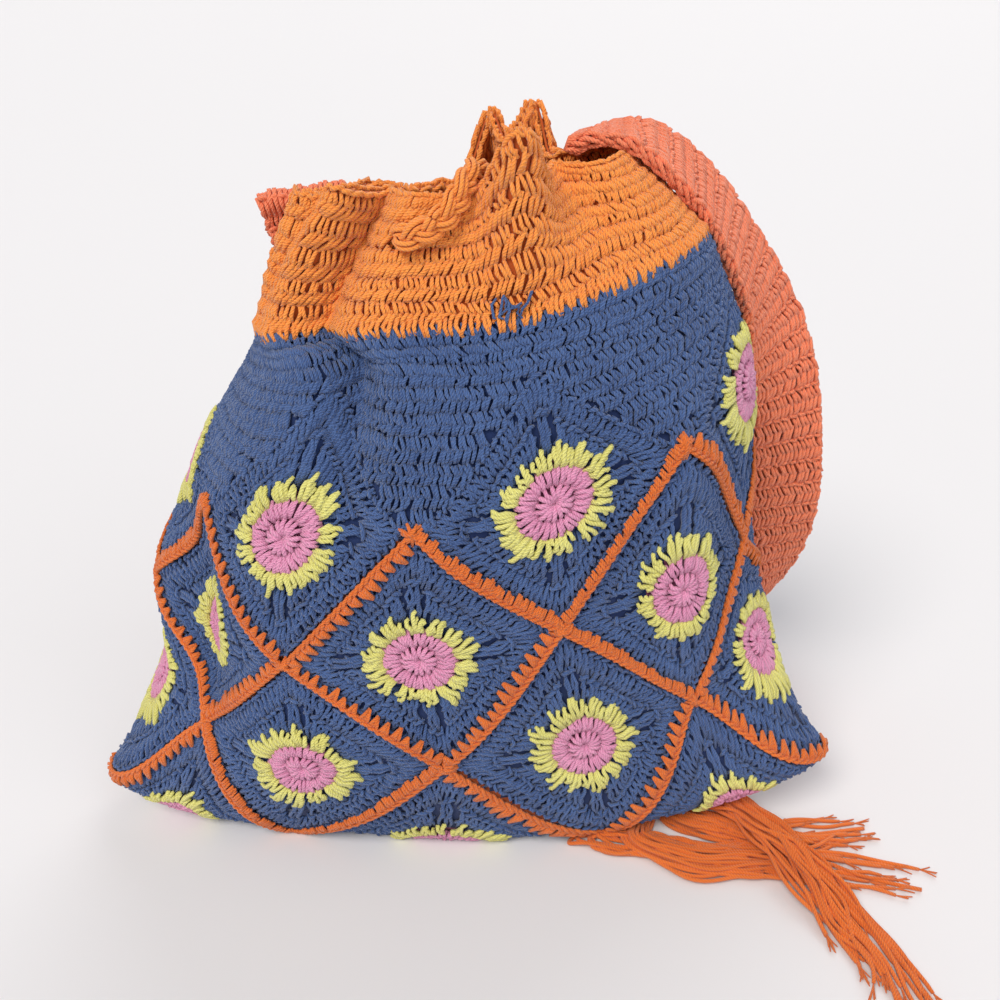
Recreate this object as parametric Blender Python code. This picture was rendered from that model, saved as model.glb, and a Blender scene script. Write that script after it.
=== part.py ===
"""Crocheted shoulder bag of joined granny squares, with a gathered band, drawstring, strap and tassel.

The cloth is laid out flat first: a column number runs round the bag and a fabric height runs up it.
The bottom squares are folded over the bottom edge, so a height below zero lies on the other face.
form() then gives where each point of that flat cloth lies on the slouched bag. Lengths are in metres.
"""

import math
from collections import namedtuple

import bmesh
import bpy
import numpy as np

# The joined cloth
HALF_PITCH = 0.080
COLUMNS = 12
WALL = 0.0045
JOIN_WIDTH = 0.009
JOIN_PROUD = 0.0016
CLEARANCE = 0.0010
TIP_TRIM = 0.009
WELD = 0.00002
SHARP_ANGLE = 50
MIDWAY = 0.5
SIDE_STEPS = 5
YOKE_RISE = 0.028
BAND_ROWS = 5
BAND_ROW_HEIGHT = 0.0145

# The flowers
PETALS = 10
FLOWER_RADIUS = 0.032
PETAL_NOTCH = 0.006
FLOWER_EYE = 0.019
FLOWER_PROUD = 0.0016
YOKE_FLOWER_WIDENING = 1.15

# The drawstring, which passes through one eyelet of the band and over its rim
CORD_DIAMETER = 0.010
EYELET_COLUMN = 2.7
EYELET_CELLS = 3
EYELET_ROW = 3

# The strap and the tassel
STRAP_WIDTH = 0.048
STRAP_THICKNESS = 0.0045
STRAP_STEPS = 2
STRAP_ROUNDING = 0.3
TASSEL_LOCK_DEPTH = 0.5
TASSEL_SIDES = 2
FLOOR_GAP = 0.0003

YOKE_TOP = 4 * HALF_PITCH + YOKE_RISE
RIM = YOKE_TOP + BAND_ROWS * BAND_ROW_HEIGHT
STEP = 1 / SIDE_STEPS
AROUND = COLUMNS * SIDE_STEPS
SPOKES = 4 * SIDE_STEPS

# A level of the bag's form: points of its two ends, front and back as (y, z), turn of the two side columns
# towards the front in degrees, drift and spread of the columns, tilt of the row
Level = namedtuple("Level", "height left right front back turns drift spread tilt")
LEVELS = (
    Level(
        height=0.0, left=(-0.233, -0.033, 0.027), right=(0.226, -0.005, 0.047),
        front=(-0.055, 0.0), back=(-0.055, 0.0), turns=(0, 0), drift=0.010, spread=0.023, tilt=0.0,
    ),
    Level(
        height=1 * HALF_PITCH, left=(-0.192, -0.010, 0.106), right=(0.184, 0.025, 0.129),
        front=(-0.077, 0.080), back=(0.035, 0.0), turns=(16, 18), drift=0.006, spread=0.019, tilt=0.0,
    ),
    Level(
        height=2 * HALF_PITCH, left=(-0.180, 0.000, 0.170), right=(0.166, 0.027, 0.198),
        front=(-0.081, 0.158), back=(0.083, 0.078), turns=(12, 18), drift=0.010, spread=0.017, tilt=0.034,
    ),
    Level(
        height=3 * HALF_PITCH, left=(-0.154, 0.000, 0.244), right=(0.155, 0.025, 0.294),
        front=(-0.083, 0.239), back=(0.097, 0.168), turns=(8, 14), drift=0.024, spread=0.012, tilt=0.029,
    ),
    Level(
        height=4 * HALF_PITCH, left=(-0.117, 0.000, 0.303), right=(0.130, 0.015, 0.356),
        front=(-0.071, 0.320), back=(0.081, 0.257), turns=(12, 8), drift=0.040, spread=0.0, tilt=0.010,
    ),
    Level(
        height=YOKE_TOP, left=(-0.106, -0.005, 0.323), right=(0.120, 0.005, 0.373),
        front=(-0.063, 0.340), back=(0.072, 0.288), turns=(2, 6), drift=0.060, spread=0.024, tilt=0.010,
    ),
    Level(
        height=RIM, left=(-0.078, -0.005, 0.388), right=(0.078, 0.002, 0.410),
        front=(-0.041, 0.396), back=(0.033, 0.388), turns=(0, 0), drift=0.016, spread=0.0, tilt=0.0,
    ),
)

# A fold: column at its foot and head, fabric height of its foot and head, half width in columns,
# depth outwards (below zero it is a valley) and lift of the cloth there
FOLDS = (
    # Slouch of the body
    (0.98, 0.80, 0.060, 0.250, 0.50, -0.018, -0.006),
    (0.05, -0.05, 0.090, 0.230, 0.45, 0.008, 0.0),
    (2.00, 1.90, 0.010, 0.150, 0.80, 0.010, 0.0),
    (2.55, 1.95, 0.200, 0.500, 0.30, -0.020, 0.0),
    (5.15, 5.00, 0.060, 0.300, 0.35, 0.010, 0.0),
    (7.60, 7.90, 0.150, 0.500, 0.45, -0.014, 0.0),
    (10.3, 10.1, 0.120, 0.480, 0.45, -0.014, 0.0),
    # Pleats of the gathered band, front and then back
    (0.80, 0.75, 0.310, 0.560, 0.28, 0.008, 0.005),
    (1.60, 1.45, 0.310, 0.560, 0.26, 0.008, 0.006),
    (4.10, 3.92, 0.350, 0.560, 0.30, 0.022, 0.032),
    (4.85, 4.75, 0.330, 0.560, 0.40, -0.018, 0.004),
    (6.60, 6.70, 0.330, 0.560, 0.34, 0.010, 0.008),
    (7.25, 7.25, 0.330, 0.560, 0.24, -0.008, 0.010),
    (7.80, 7.75, 0.330, 0.560, 0.26, 0.014, 0.036),
    (8.15, 8.10, 0.330, 0.560, 0.20, -0.010, 0.012),
    (8.50, 8.45, 0.330, 0.560, 0.26, 0.014, 0.034),
    (9.70, 9.70, 0.330, 0.560, 0.34, -0.010, 0.0),
    (10.4, 10.4, 0.330, 0.560, 0.34, 0.008, 0.0),
    (11.2, 11.2, 0.330, 0.560, 0.32, -0.008, 0.0),
)
FOLD_FADE = 0.4
LEFT_BLUNTNESS = 0.62
RING_SAMPLES = 121
FOLD_REACH = 0.05
NORMAL_REACH = 0.02
TIP_PUFF = 0.45
TIP_REACH = 0.050
TIP_LENGTH = 0.025
TIP_THINNEST = 0.35

# Route of the drawstring: column, distance below the rim, and distance out of the unfolded cloth
CORD_ROUTE = (
    (3.10, 0.0120, 0.0115),
    (2.93, 0.0170, 0.0110),
    (2.79, 0.0200, 0.0082),
    (2.75, 0.0207, 0.0000),
    (2.73, 0.0224, -0.0095),
    (2.65, 0.0232, -0.0190),
    (2.38, 0.0230, -0.0325),
    (1.80, 0.0220, -0.0330),
    (1.45, 0.0220, -0.0250),
    (0.90, 0.0220, -0.0120),
    (0.10, 0.0220, -0.0120),
    (11.2, 0.0220, -0.0210),
    (10.4, 0.0220, -0.0140),
    (9.70, 0.0220, -0.0230),
    (9.00, 0.0220, -0.0150),
    (8.20, 0.0220, -0.0210),
    (7.30, 0.0220, -0.0230),
    (6.50, 0.0220, -0.0150),
    (6.00, 0.0220, -0.0150),
    (5.40, 0.0220, -0.0190),
    (4.80, 0.0200, -0.0310),
    (4.20, 0.0120, -0.0200),
    (3.80, 0.0020, -0.0150),
    (3.62, -0.0080, -0.0100),
    (3.43, -0.0140, -0.0010),
    (3.32, -0.0100, 0.0080),
    (3.22, 0.0030, 0.0110),
)
CORD_POINTS = 60

# Stations of the strap: its middle and the direction across it
STRAP_ROUTE = (
    ((0.054, 0.0185, 0.4114), (0.35, 0.90, 0.05)),
    ((0.070, 0.0175, 0.4169), (0.34, 0.93, 0.02)),
    ((0.088, 0.0180, 0.4155), (0.34, 0.94, 0.02)),
    ((0.107, 0.0205, 0.4040), (0.34, 0.94, 0.02)),
    ((0.130, 0.0285, 0.3810), (0.36, 0.93, 0.04)),
    ((0.149, 0.0370, 0.3530), (0.42, 0.90, 0.06)),
    ((0.167, 0.0490, 0.3200), (0.60, 0.80, 0.08)),
    ((0.180, 0.0575, 0.2830), (0.85, 0.52, 0.06)),
    ((0.1900, 0.0660, 0.2370), (0.97, 0.24, 0.04)),
    ((0.1980, 0.0780, 0.1800), (1.00, 0.15, 0.00)),
    ((0.1990, 0.0920, 0.1270), (0.90, 0.45, 0.00)),
    ((0.1900, 0.1080, 0.0720), (0.60, 0.80, 0.10)),
    ((0.172, 0.123, 0.030), (0.40, 0.90, 0.05)),
    ((0.138, 0.135, 0.006), (0.25, 0.97, 0.00)),
    ((0.085, 0.142, 0.003), (0.05, 1.00, 0.00)),
    ((0.020, 0.143, 0.003), (0.00, 1.00, 0.00)),
    ((-0.045, 0.141, 0.003), (-0.05, 1.00, 0.00)),
    ((-0.100, 0.135, 0.014), (0.10, 1.00, 0.15)),
    ((-0.118, 0.125, 0.055), (0.45, 0.85, 0.20)),
    ((-0.122, 0.112, 0.115), (0.80, 0.60, 0.05)),
    ((-0.119, 0.100, 0.180), (0.93, 0.36, 0.00)),
    ((-0.110, 0.086, 0.240), (0.95, 0.28, 0.05)),
    ((-0.098, 0.066, 0.297), (0.96, 0.22, 0.10)),
    ((-0.088, 0.040, 0.345), (0.96, 0.15, 0.15)),
    ((-0.092, 0.0262, 0.385), (0.97, 0.05, 0.20)),
)

# Tassel locks on the floor: middle points (x, y, height above it) and half widths at root, middle and end
TASSEL_LOCKS = (
    (
        (
            (0.1117, -0.0095, 0.0), (0.1115, -0.018, 0.0), (0.113, -0.031, 0.0), (0.1085, -0.045, 0.0),
            (0.112, -0.059, 0.0), (0.145, -0.070, 0.0), (0.186, -0.067, 0.0), (0.226, -0.069, 0.0),
            (0.279, -0.079, 0.0),
        ),
        (0.0026, 0.0080, 0.0090),
    ),
    (
        (
            (0.1174, -0.0095, 0.0), (0.1205, -0.018, 0.0), (0.135, -0.029, 0.0), (0.155, -0.038, 0.0),
            (0.184, -0.043, 0.0), (0.216, -0.041, 0.0), (0.256, -0.032, 0.0),
        ),
        (0.0026, 0.0070, 0.0070),
    ),
    (
        (
            (0.1236, -0.0095, 0.0), (0.133, -0.0165, 0.0), (0.148, -0.0175, 0.002), (0.170, -0.026, 0.0085),
            (0.192, -0.051, 0.0105), (0.212, -0.083, 0.0075), (0.229, -0.111, 0.0), (0.243, -0.139, 0.0),
            (0.249, -0.169, 0.0),
        ),
        (0.0026, 0.0075, 0.0095),
    ),
)
TASSEL_LOCK_POINTS = 14
BINDING_CENTRE = (0.1174, 0.0035)
BINDING_RADIUS = 0.0075
BINDING_LENGTH = 0.024
BINDING_SIDES = 12

COLOURS = {
    "blue cotton": (0.062, 0.128, 0.330),
    "orange band cotton": (0.870, 0.250, 0.045),
    "orange join cotton": (0.680, 0.145, 0.035),
    "coral strap cotton": (0.870, 0.215, 0.095),
    "pink cotton": (0.720, 0.270, 0.470),
    "yellow cotton": (0.710, 0.690, 0.190),
}
COTTON_ROUGHNESS = 0.9


def smooth(t):
    t = np.clip(t, 0, 1)
    return t * t * (3 - 2 * t)


def ring(level, angle):
    """Points of a level's ring. The left end is at 180 degrees and the front at 270."""
    c = np.cos(angle)
    s = np.sin(angle)
    share = (1 + c) / 2
    left, right = level.left, level.right
    side_y = left[1] + (right[1] - left[1]) * share
    middle_y = (left[1] + right[1]) / 2
    face_y = np.where(s < 0, level.front[0], level.back[0])
    face_z = np.where(s < 0, level.front[1], level.back[1])
    side_z = np.where(c < 0, left[2], right[2])
    blunt = np.where(c < 0, -np.abs(c) ** LEFT_BLUNTNESS, c)
    x = left[0] + (right[0] - left[0]) * (1 + blunt) / 2
    y = side_y + (face_y - middle_y) * np.abs(s)
    z = side_z * c * c + (face_z + level.tilt * c) * s * s
    return np.stack([x, y, z], -1)


def column_angles(level):
    """Columns against ring angles, spaced evenly along the front and along the back."""
    turn_left, turn_right = (math.radians(turn) for turn in level.turns)
    columns = []
    angles = []
    for start, end in ((math.pi + turn_left, 2 * math.pi - turn_right), (-turn_right, math.pi + turn_left)):
        swept = np.linspace(start, end, RING_SAMPLES)
        steps = np.linalg.norm(np.diff(ring(level, swept), axis=0), axis=1)
        run = np.concatenate([[0], np.cumsum(steps)])
        columns.append(run / run[-1] * COLUMNS / 2)
        angles.append(swept)
    return columns, angles


RINGS = [column_angles(level) for level in LEVELS]


def ring_at(index, u):
    """The unfolded cloth at column u on one level."""
    columns, angles = RINGS[index]
    level = LEVELS[index]
    half = COLUMNS / 2
    u = np.mod(u, COLUMNS)
    across = np.where(u < half, u, COLUMNS - u)
    wave = math.pi * across / half
    shift = level.drift * np.sin(wave) + level.spread * np.sin(2 * wave)
    across = np.clip(across - shift / HALF_PITCH, 0, half)
    front = np.interp(across, columns[0], angles[0])
    back = np.interp(half - across, columns[1], angles[1])
    return ring(level, np.where(u < half, front, back))


def plain_form(u, h):
    """The unfolded cloth at column u and fabric height h, on a smooth curve through the levels."""
    u, h = np.broadcast_arrays(np.asarray(u, float), np.asarray(h, float))
    u = np.where(h < 0, -u, u)
    h = np.abs(h)
    heights = [level.height for level in LEVELS]
    rings = [ring_at(1, -u)] + [ring_at(k, u) for k in range(len(LEVELS))]
    rings.append(2 * rings[-1] - rings[-2])
    rings = np.stack(rings)
    at = np.array([-heights[1]] + heights + [2 * heights[-1] - heights[-2]])
    k = np.clip(np.searchsorted(heights, h, side="right") - 1, 0, len(heights) - 2) + 1
    grid = tuple(np.indices(h.shape))
    before, low, high, after = (rings[(k + j,) + grid] for j in (-1, 0, 1, 2))
    span = (at[k + 1] - at[k])[..., None]
    slope_low = (high - before) / (at[k + 1] - at[k - 1])[..., None] * span
    slope_high = (after - low) / (at[k + 2] - at[k])[..., None] * span
    t = ((h - at[k]) / (at[k + 1] - at[k]))[..., None]
    low_share = 2 * t**3 - 3 * t**2 + 1
    return (
        low_share * low
        + (1 - low_share) * high
        + (t**3 - 2 * t**2 + t) * slope_low
        + (t**3 - t**2) * slope_high
    )


def level_outward(u, h):
    """Horizontal direction out of the unfolded cloth."""
    along = plain_form(u + FOLD_REACH, h) - plain_form(u - FOLD_REACH, h)
    out = np.stack([along[..., 1], -along[..., 0], np.zeros_like(along[..., 0])], -1)
    return out / np.maximum(np.linalg.norm(out, axis=-1, keepdims=True), 1e-9)


def form(u, h):
    """The middle of the cloth at column u and fabric height h, folded, and resting on the floor."""
    u, h = np.broadcast_arrays(np.asarray(u, float), np.asarray(h, float))
    u = np.mod(np.where(h < 0, -u, u), COLUMNS)
    h = np.abs(h)
    depth = np.zeros_like(h)
    lift = np.zeros_like(h)
    for foot, head, low, high, width, reach, rise in FOLDS:
        t = (h - low) / (high - low)
        middle = foot + (head - foot) * np.clip(t, 0, 1)
        away = np.mod(u - middle + COLUMNS / 2, COLUMNS) - COLUMNS / 2
        amount = smooth(t / FOLD_FADE) * smooth((1 - t) / FOLD_FADE) * np.exp(-((away / width) ** 2))
        depth = depth + reach * amount
        lift = lift + rise * amount
    points = plain_form(u, h) + level_outward(u, h) * depth[..., None]
    points[..., 1] += tip_puff(u, h)
    points[..., 2] = np.maximum(points[..., 2] + lift, WALL / 2)
    return points


def from_tips(u, h):
    """Distance along the cloth to the nearer bottom corner, and the angle up from the fold there."""
    half = COLUMNS / 2
    along = np.abs(np.mod(u + half / 2, half) - half / 2) * HALF_PITCH
    return np.hypot(along, h), np.arctan2(h, along)


def tip_puff(u, h):
    """How far the two layers of a bottom corner stand apart, as the cone that the folded cloth makes."""
    distance, angle = from_tips(u, h)
    puff = TIP_PUFF * distance * np.exp(-((distance / TIP_REACH) ** 2)) * np.sin(2 * angle)
    return np.where(u < COLUMNS / 2, -puff, puff)


def cloth_normal(u, h):
    """Direction out of the folded cloth."""
    reach = NORMAL_REACH * HALF_PITCH
    across = form(u + NORMAL_REACH, h) - form(u - NORMAL_REACH, h)
    upward = form(u, h + reach) - form(u, h - reach)
    out = np.cross(across, upward)
    return out / np.maximum(np.linalg.norm(out, axis=-1, keepdims=True), 1e-12)


def tip_share(u, h):
    """Share of the cloth's thickness left at the two bottom corners, where the fold pinches it."""
    distance, _ = from_tips(u, h)
    return TIP_THINNEST + (1 - TIP_THINNEST) * smooth(distance / TIP_LENGTH)


def new_material(name):
    material = bpy.data.materials.new(name)
    material.use_nodes = True
    shader = material.node_tree.nodes["Principled BSDF"]
    shader.inputs["Base Color"].default_value = (*COLOURS[name.rsplit(" on ", 1)[0]], 1)
    shader.inputs["Roughness"].default_value = COTTON_ROUGHNESS
    shader.inputs["Metallic"].default_value = 0
    material.diffuse_color = (*COLOURS[name.rsplit(" on ", 1)[0]], 1)
    return material


def add_object(name, data, finishes):
    """Puts a mesh or curve in the bag's collection, with a material of its own for each finish."""
    for finish in finishes:
        data.materials.append(new_material(f"{finish} on {name}"))
    thing = bpy.data.objects.new(name, data)
    bag.objects.link(thing)
    return thing


class Cloth:
    """A piece of the cloth drawn flat, as faces between points, and then thickened on the bag's form."""

    def __init__(self):
        self.points = []
        self.faces = []

    def point(self, column, height, proud=0.0):
        """Adds a point at a column and a height, both counted in half squares unless above the squares."""
        self.points.append((column, height, proud))
        return len(self.points) - 1

    def face(self, corners, finish=0):
        self.faces.append((corners, finish))

    def strip(self, lower, upper, finish=0, closed=False):
        """Faces between two lines of equally many points, the first line below or outside."""
        count = len(lower)
        for i in range(count if closed else count - 1):
            j = (i + 1) % count
            self.face((lower[i], lower[j], upper[j], upper[i]), finish)

    def solid(self, name, finishes):
        """Closes the piece into one body of the cloth's thickness."""
        u, h, proud = np.array(self.points).T
        middle = form(u, h)
        out = cloth_normal(u, h)
        share = tip_share(u, h)[:, None]
        outer = middle + out * share * (WALL / 2 + proud)[:, None]
        inner = middle - out * share * WALL / 2
        outer[:, 2] = np.maximum(outer[:, 2], 0)
        welded = {}
        keys = [tuple(key) for key in np.round(middle / WELD).astype(int)]
        owner = [welded.setdefault(key, i) for i, key in enumerate(keys)]
        mesh = bmesh.new()
        used = sorted(set(owner))
        top = {i: mesh.verts.new(outer[i]) for i in used}
        bottom = {i: mesh.verts.new(inner[i]) for i in used}
        sides = {}
        for corners, finish in self.faces:
            loop = [owner[i] for i in corners]
            mesh.faces.new([top[i] for i in loop]).material_index = finish
            mesh.faces.new([bottom[i] for i in reversed(loop)]).material_index = finish
            for a, b in zip(loop, loop[1:] + loop[:1]):
                sides[(a, b)] = finish
        for (a, b), finish in sides.items():
            if (b, a) not in sides:
                mesh.faces.new((top[b], top[a], bottom[a], bottom[b])).material_index = finish
        bmesh.ops.triangulate(mesh, faces=mesh.faces[:])
        data = bpy.data.meshes.new(name)
        mesh.to_mesh(data)
        mesh.free()
        data.shade_smooth()
        data.set_sharp_from_angle(angle=math.radians(SHARP_ANGLE))
        return add_object(name, data, finishes)


DIAMOND_CORNERS = ((1, 0), (0, 1), (-1, 0), (0, -1))


def diamond(reach, trims=(0, 0, 0, 0)):
    """Outline of a square standing on its point, in metres about its centre, with any corner pulled back."""
    corners = [(x * (reach - trim), y * (reach - trim)) for (x, y), trim in zip(DIAMOND_CORNERS, trims)]
    outline = []
    for side in range(4):
        a = corners[side]
        b = corners[(side + 1) % 4]
        for step in range(SIDE_STEPS):
            t = step * STEP
            outline.append((a[0] + (b[0] - a[0]) * t, a[1] + (b[1] - a[1]) * t))
    return outline


def star(radius, notch, count, widening=1.0):
    """Outline of a flower, from tip to notch to tip."""
    outline = []
    for i in range(count):
        angle = 2 * math.pi * i / count
        r = radius - notch * (i % 2)
        outline.append((r * math.cos(angle) * widening, r * math.sin(angle)))
    return outline


def place(cloth, centre, outline, proud=0.0):
    """Adds an outline, given in metres about a square's centre."""
    column, row = centre
    return [cloth.point(column + x / HALF_PITCH, row * HALF_PITCH + y, proud) for x, y in outline]


def blend_outlines(a, b, share):
    return [(p[0] + (q[0] - p[0]) * share, p[1] + (q[1] - p[1]) * share) for p, q in zip(a, b)]


def flower_hole(widening):
    return star(FLOWER_RADIUS + CLEARANCE, PETAL_NOTCH, SPOKES, widening)


def add_square(cloth, centre, outline, widening=1.0):
    """Cloth of one granny square between its flower and its edge. Returns the edge's points."""
    hole = flower_hole(widening)
    edge = place(cloth, centre, outline)
    middle = place(cloth, centre, blend_outlines(hole, outline, MIDWAY))
    inner = place(cloth, centre, hole)
    cloth.strip(edge, middle, closed=True)
    cloth.strip(middle, inner, closed=True)
    return edge


def is_tip(column, row):
    """The two bottom corners of the bag, where only two strips meet."""
    return row == 0 and column % (COLUMNS // 2) == 0


def square_reach():
    return HALF_PITCH - (JOIN_WIDTH / 2 + CLEARANCE) * math.sqrt(2)


def make_square(name, centre):
    """One granny square, with its corner pulled back where the bag's own bottom corner needs room to fold."""
    cloth = Cloth()
    column, row = centre
    trims = [TIP_TRIM if is_tip(column + x, row + y) else 0.0 for x, y in DIAMOND_CORNERS]
    add_square(cloth, centre, diamond(square_reach(), trims))
    cloth.solid(name, ("blue cotton",))


def make_flower(name, centre, widening):
    """A rosette of yellow petals round a raised pink eye."""
    cloth = Cloth()
    tips = place(cloth, centre, star(FLOWER_RADIUS, PETAL_NOTCH, SPOKES, widening))
    eye = place(cloth, centre, star(FLOWER_EYE, 0.0, PETALS, widening), FLOWER_PROUD)
    for i in range(PETALS):
        before = tips[2 * i - 1]
        tip = tips[2 * i]
        after = tips[2 * i + 1]
        cloth.face((before, tip, eye[i]), 0)
        cloth.face((tip, after, eye[i]), 0)
        cloth.face((after, eye[(i + 1) % PETALS], eye[i]), 0)
    cloth.face(tuple(eye), 1)
    cloth.solid(name, ("yellow cotton", "pink cotton"))


def yoke_outline():
    """A square of the yoke's row: trimmed below for the join, full above, where rows of stitches go on."""
    trimmed = diamond(square_reach())
    whole = diamond(HALF_PITCH)
    lift = (JOIN_WIDTH / 2 + CLEARANCE) * math.sqrt(2)
    outline = []
    for i in range(SPOKES):
        upper = 0 <= i <= 2 * SIDE_STEPS
        if not upper:
            outline.append(trimmed[i])
            continue
        share = 1 - whole[i][1] / HALF_PITCH
        outline.append((whole[i][0], whole[i][1] + lift * share))
    return outline


def zip_rows(cloth, lower, upper):
    """Triangles between two lines of unlike count."""
    i = 0
    j = 0
    while i < len(lower) - 1 or j < len(upper) - 1:
        at_lower = i / max(len(lower) - 1, 1)
        at_upper = j / max(len(upper) - 1, 1)
        if j < len(upper) - 1 and (i == len(lower) - 1 or at_upper <= at_lower):
            cloth.face((lower[i], upper[j + 1], upper[j]))
            j += 1
        else:
            cloth.face((lower[i], lower[i + 1], upper[j]))
            i += 1


def make_yoke():
    """The top row of squares, the wedges of stitches between them and the rows under the band, as one."""
    cloth = Cloth()
    outline = yoke_outline()
    for column in range(0, COLUMNS, 2):
        add_square(cloth, (column, 3), outline, YOKE_FLOWER_WIDENING)
    shoulder = [outline[i] for i in range(SIDE_STEPS + 1)]
    seam_top = YOKE_TOP - CLEARANCE / 2
    for column in range(0, COLUMNS, 2):
        rows = []
        for step, (x, y) in enumerate(shoulder):
            height = 3 * HALF_PITCH + y
            start = column + x / HALF_PITCH
            end = column + 2 - x / HALF_PITCH
            spans = max(2 * step, 1)
            width = end - start
            if step == 0:
                rows.append([cloth.point(start, height)])
                continue
            rows.append([cloth.point(start + width * i / spans, height) for i in range(spans + 1)])
        for lower, upper in zip(rows, rows[1:]):
            zip_rows(cloth, lower, upper)
        top = [cloth.point(column + 2 * i / (2 * SIDE_STEPS), seam_top) for i in range(2 * SIDE_STEPS + 1)]
        cloth.strip(rows[-1], top)
    cloth.solid("blue_yoke", ("blue cotton",))


def make_joins():
    """The raised joins between the squares, three zigzag rounds that meet at the squares' points."""
    cloth = Cloth()
    notch = JOIN_WIDTH / 2 * math.sqrt(2)
    for row in range(3):
        for column in range(COLUMNS):
            if (column + row) % 2:
                continue
            for side in (-1, 1):
                add_strip(cloth, (column, row), (column + side, row + 1), side, notch)
    for row in range(3):
        for column in range(COLUMNS):
            mirrored = row == 0 and column > COLUMNS // 2
            if (column + row) % 2 or mirrored:
                continue
            if is_tip(column, row):
                add_tip(cloth, column, notch)
            else:
                add_hub(cloth, (column, row), notch)
    cloth.solid("zigzag_joins", ("orange join cotton",))


def add_strip(cloth, foot, head, side, notch):
    """One strip up to the right (side 1) or to the left (side -1), with a ridge along its middle."""
    low = (foot[0], foot[1] * HALF_PITCH)
    high = (head[0], head[1] * HALF_PITCH)
    step = notch / HALF_PITCH * side
    foot_side = (low[0] + step, low[1])
    foot_top = (low[0], low[1] + notch)
    if head[1] == 3:
        head_below = (high[0], high[1] - notch)
        head_above = (high[0], high[1] + notch)
    else:
        head_below = (high[0], high[1] - notch)
        head_above = (high[0] - step, high[1])
    lines = []
    for start, end, proud in (
        (foot_side, head_below, 0.0),
        (middle_of(foot_side, foot_top), middle_of(head_below, head_above), JOIN_PROUD),
        (foot_top, head_above, 0.0),
    ):
        column, height = np.linspace(start, end, SIDE_STEPS + 1).T
        lines.append([cloth.point(c, h, proud) for c, h in zip(column, height)])
    if side < 0:
        lines.reverse()
    cloth.strip(lines[0], lines[1])
    cloth.strip(lines[1], lines[2])


def middle_of(a, b):
    return ((a[0] + b[0]) / 2, (a[1] + b[1]) / 2)


def add_hub(cloth, centre, notch):
    """The patch where four strips meet."""
    column = centre[0]
    height = centre[1] * HALF_PITCH
    step = notch / HALF_PITCH
    corners = [(column + step * x, height + notch * y) for x, y in DIAMOND_CORNERS]
    rim = []
    for i, corner in enumerate(corners):
        rim.append(cloth.point(*corner))
        rim.append(cloth.point(*middle_of(corner, corners[(i + 1) % 4]), JOIN_PROUD))
    peak = cloth.point(column, height, JOIN_PROUD)
    for i in range(len(rim)):
        cloth.face((rim[i], rim[(i + 1) % len(rim)], peak))


def add_tip(cloth, column, notch):
    """The patch at a bottom corner of the bag, where two strips meet round the fold."""
    step = notch / HALF_PITCH
    cloth.face((
        cloth.point(column + step, 0.0),
        cloth.point(column + step / 2, notch / 2, JOIN_PROUD),
        cloth.point(column, notch),
        cloth.point(column - step / 2, notch / 2, JOIN_PROUD),
    ))


def make_band():
    """The gathered band above the yoke, with the eyelet that the drawstring passes through."""
    cloth = Cloth()
    base = YOKE_TOP + CLEARANCE / 2
    row_height = (RIM - base) / BAND_ROWS
    rows = []
    for row in range(BAND_ROWS + 1):
        rows.append([cloth.point(i * STEP, base + row * row_height) for i in range(AROUND)])
    first_open = round(EYELET_COLUMN / STEP - EYELET_CELLS / 2)
    for row in range(BAND_ROWS):
        for i in range(AROUND):
            if row == EYELET_ROW and first_open <= i < first_open + EYELET_CELLS:
                continue
            j = (i + 1) % AROUND
            cloth.face((rows[row][i], rows[row][j], rows[row + 1][j], rows[row + 1][i]))
    cloth.solid("top_band", ("orange band cotton",))


def smooth_curve(points, count, closed=False):
    """Evenly stepped points on a smooth curve through the given ones."""
    points = np.array(points, float)
    if closed:
        padded = np.concatenate([points[-1:], points, points[:2]])
    else:
        padded = np.concatenate([2 * points[:1] - points[1:2], points, 2 * points[-1:] - points[-2:-1]])
    spans = len(padded) - 3
    at = np.linspace(0, spans, count, endpoint=not closed)
    k = np.minimum(at.astype(int), spans - 1)
    t = (at - k)[:, None]
    a, b, c, d = (padded[k + j] for j in range(4))
    bend = 2 * a - 5 * b + 4 * c - d
    twist = 3 * b - a - 3 * c + d
    return 0.5 * (2 * b + (c - a) * t + bend * t**2 + twist * t**3)


def tube(name, points, radii, finish, closed=False, flattening=1.0):
    """A round tube along a line of points, flattened by lowering its height."""
    curve = bpy.data.curves.new(name, "CURVE")
    curve.dimensions = "3D"
    curve.bevel_depth = 1.0
    curve.bevel_resolution = TASSEL_SIDES
    curve.use_fill_caps = True
    spline = curve.splines.new("POLY")
    spline.points.add(len(points) - 1)
    for knot, point, radius in zip(spline.points, points, radii):
        knot.co = (point[0], point[1], point[2] / flattening, 1)
        knot.radius = radius
    spline.use_cyclic_u = closed
    thing = add_object(name, curve, (finish,))
    thing.scale.z = flattening
    return thing


def cord_points():
    u, drop, away = np.array(CORD_ROUTE).T
    h = RIM - drop
    return smooth_curve(plain_form(u, h) + level_outward(u, h) * away[:, None], CORD_POINTS, closed=True)


def make_drawstring():
    tube("drawstring", cord_points(), [CORD_DIAMETER / 2] * CORD_POINTS, "orange join cotton", closed=True)


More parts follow.
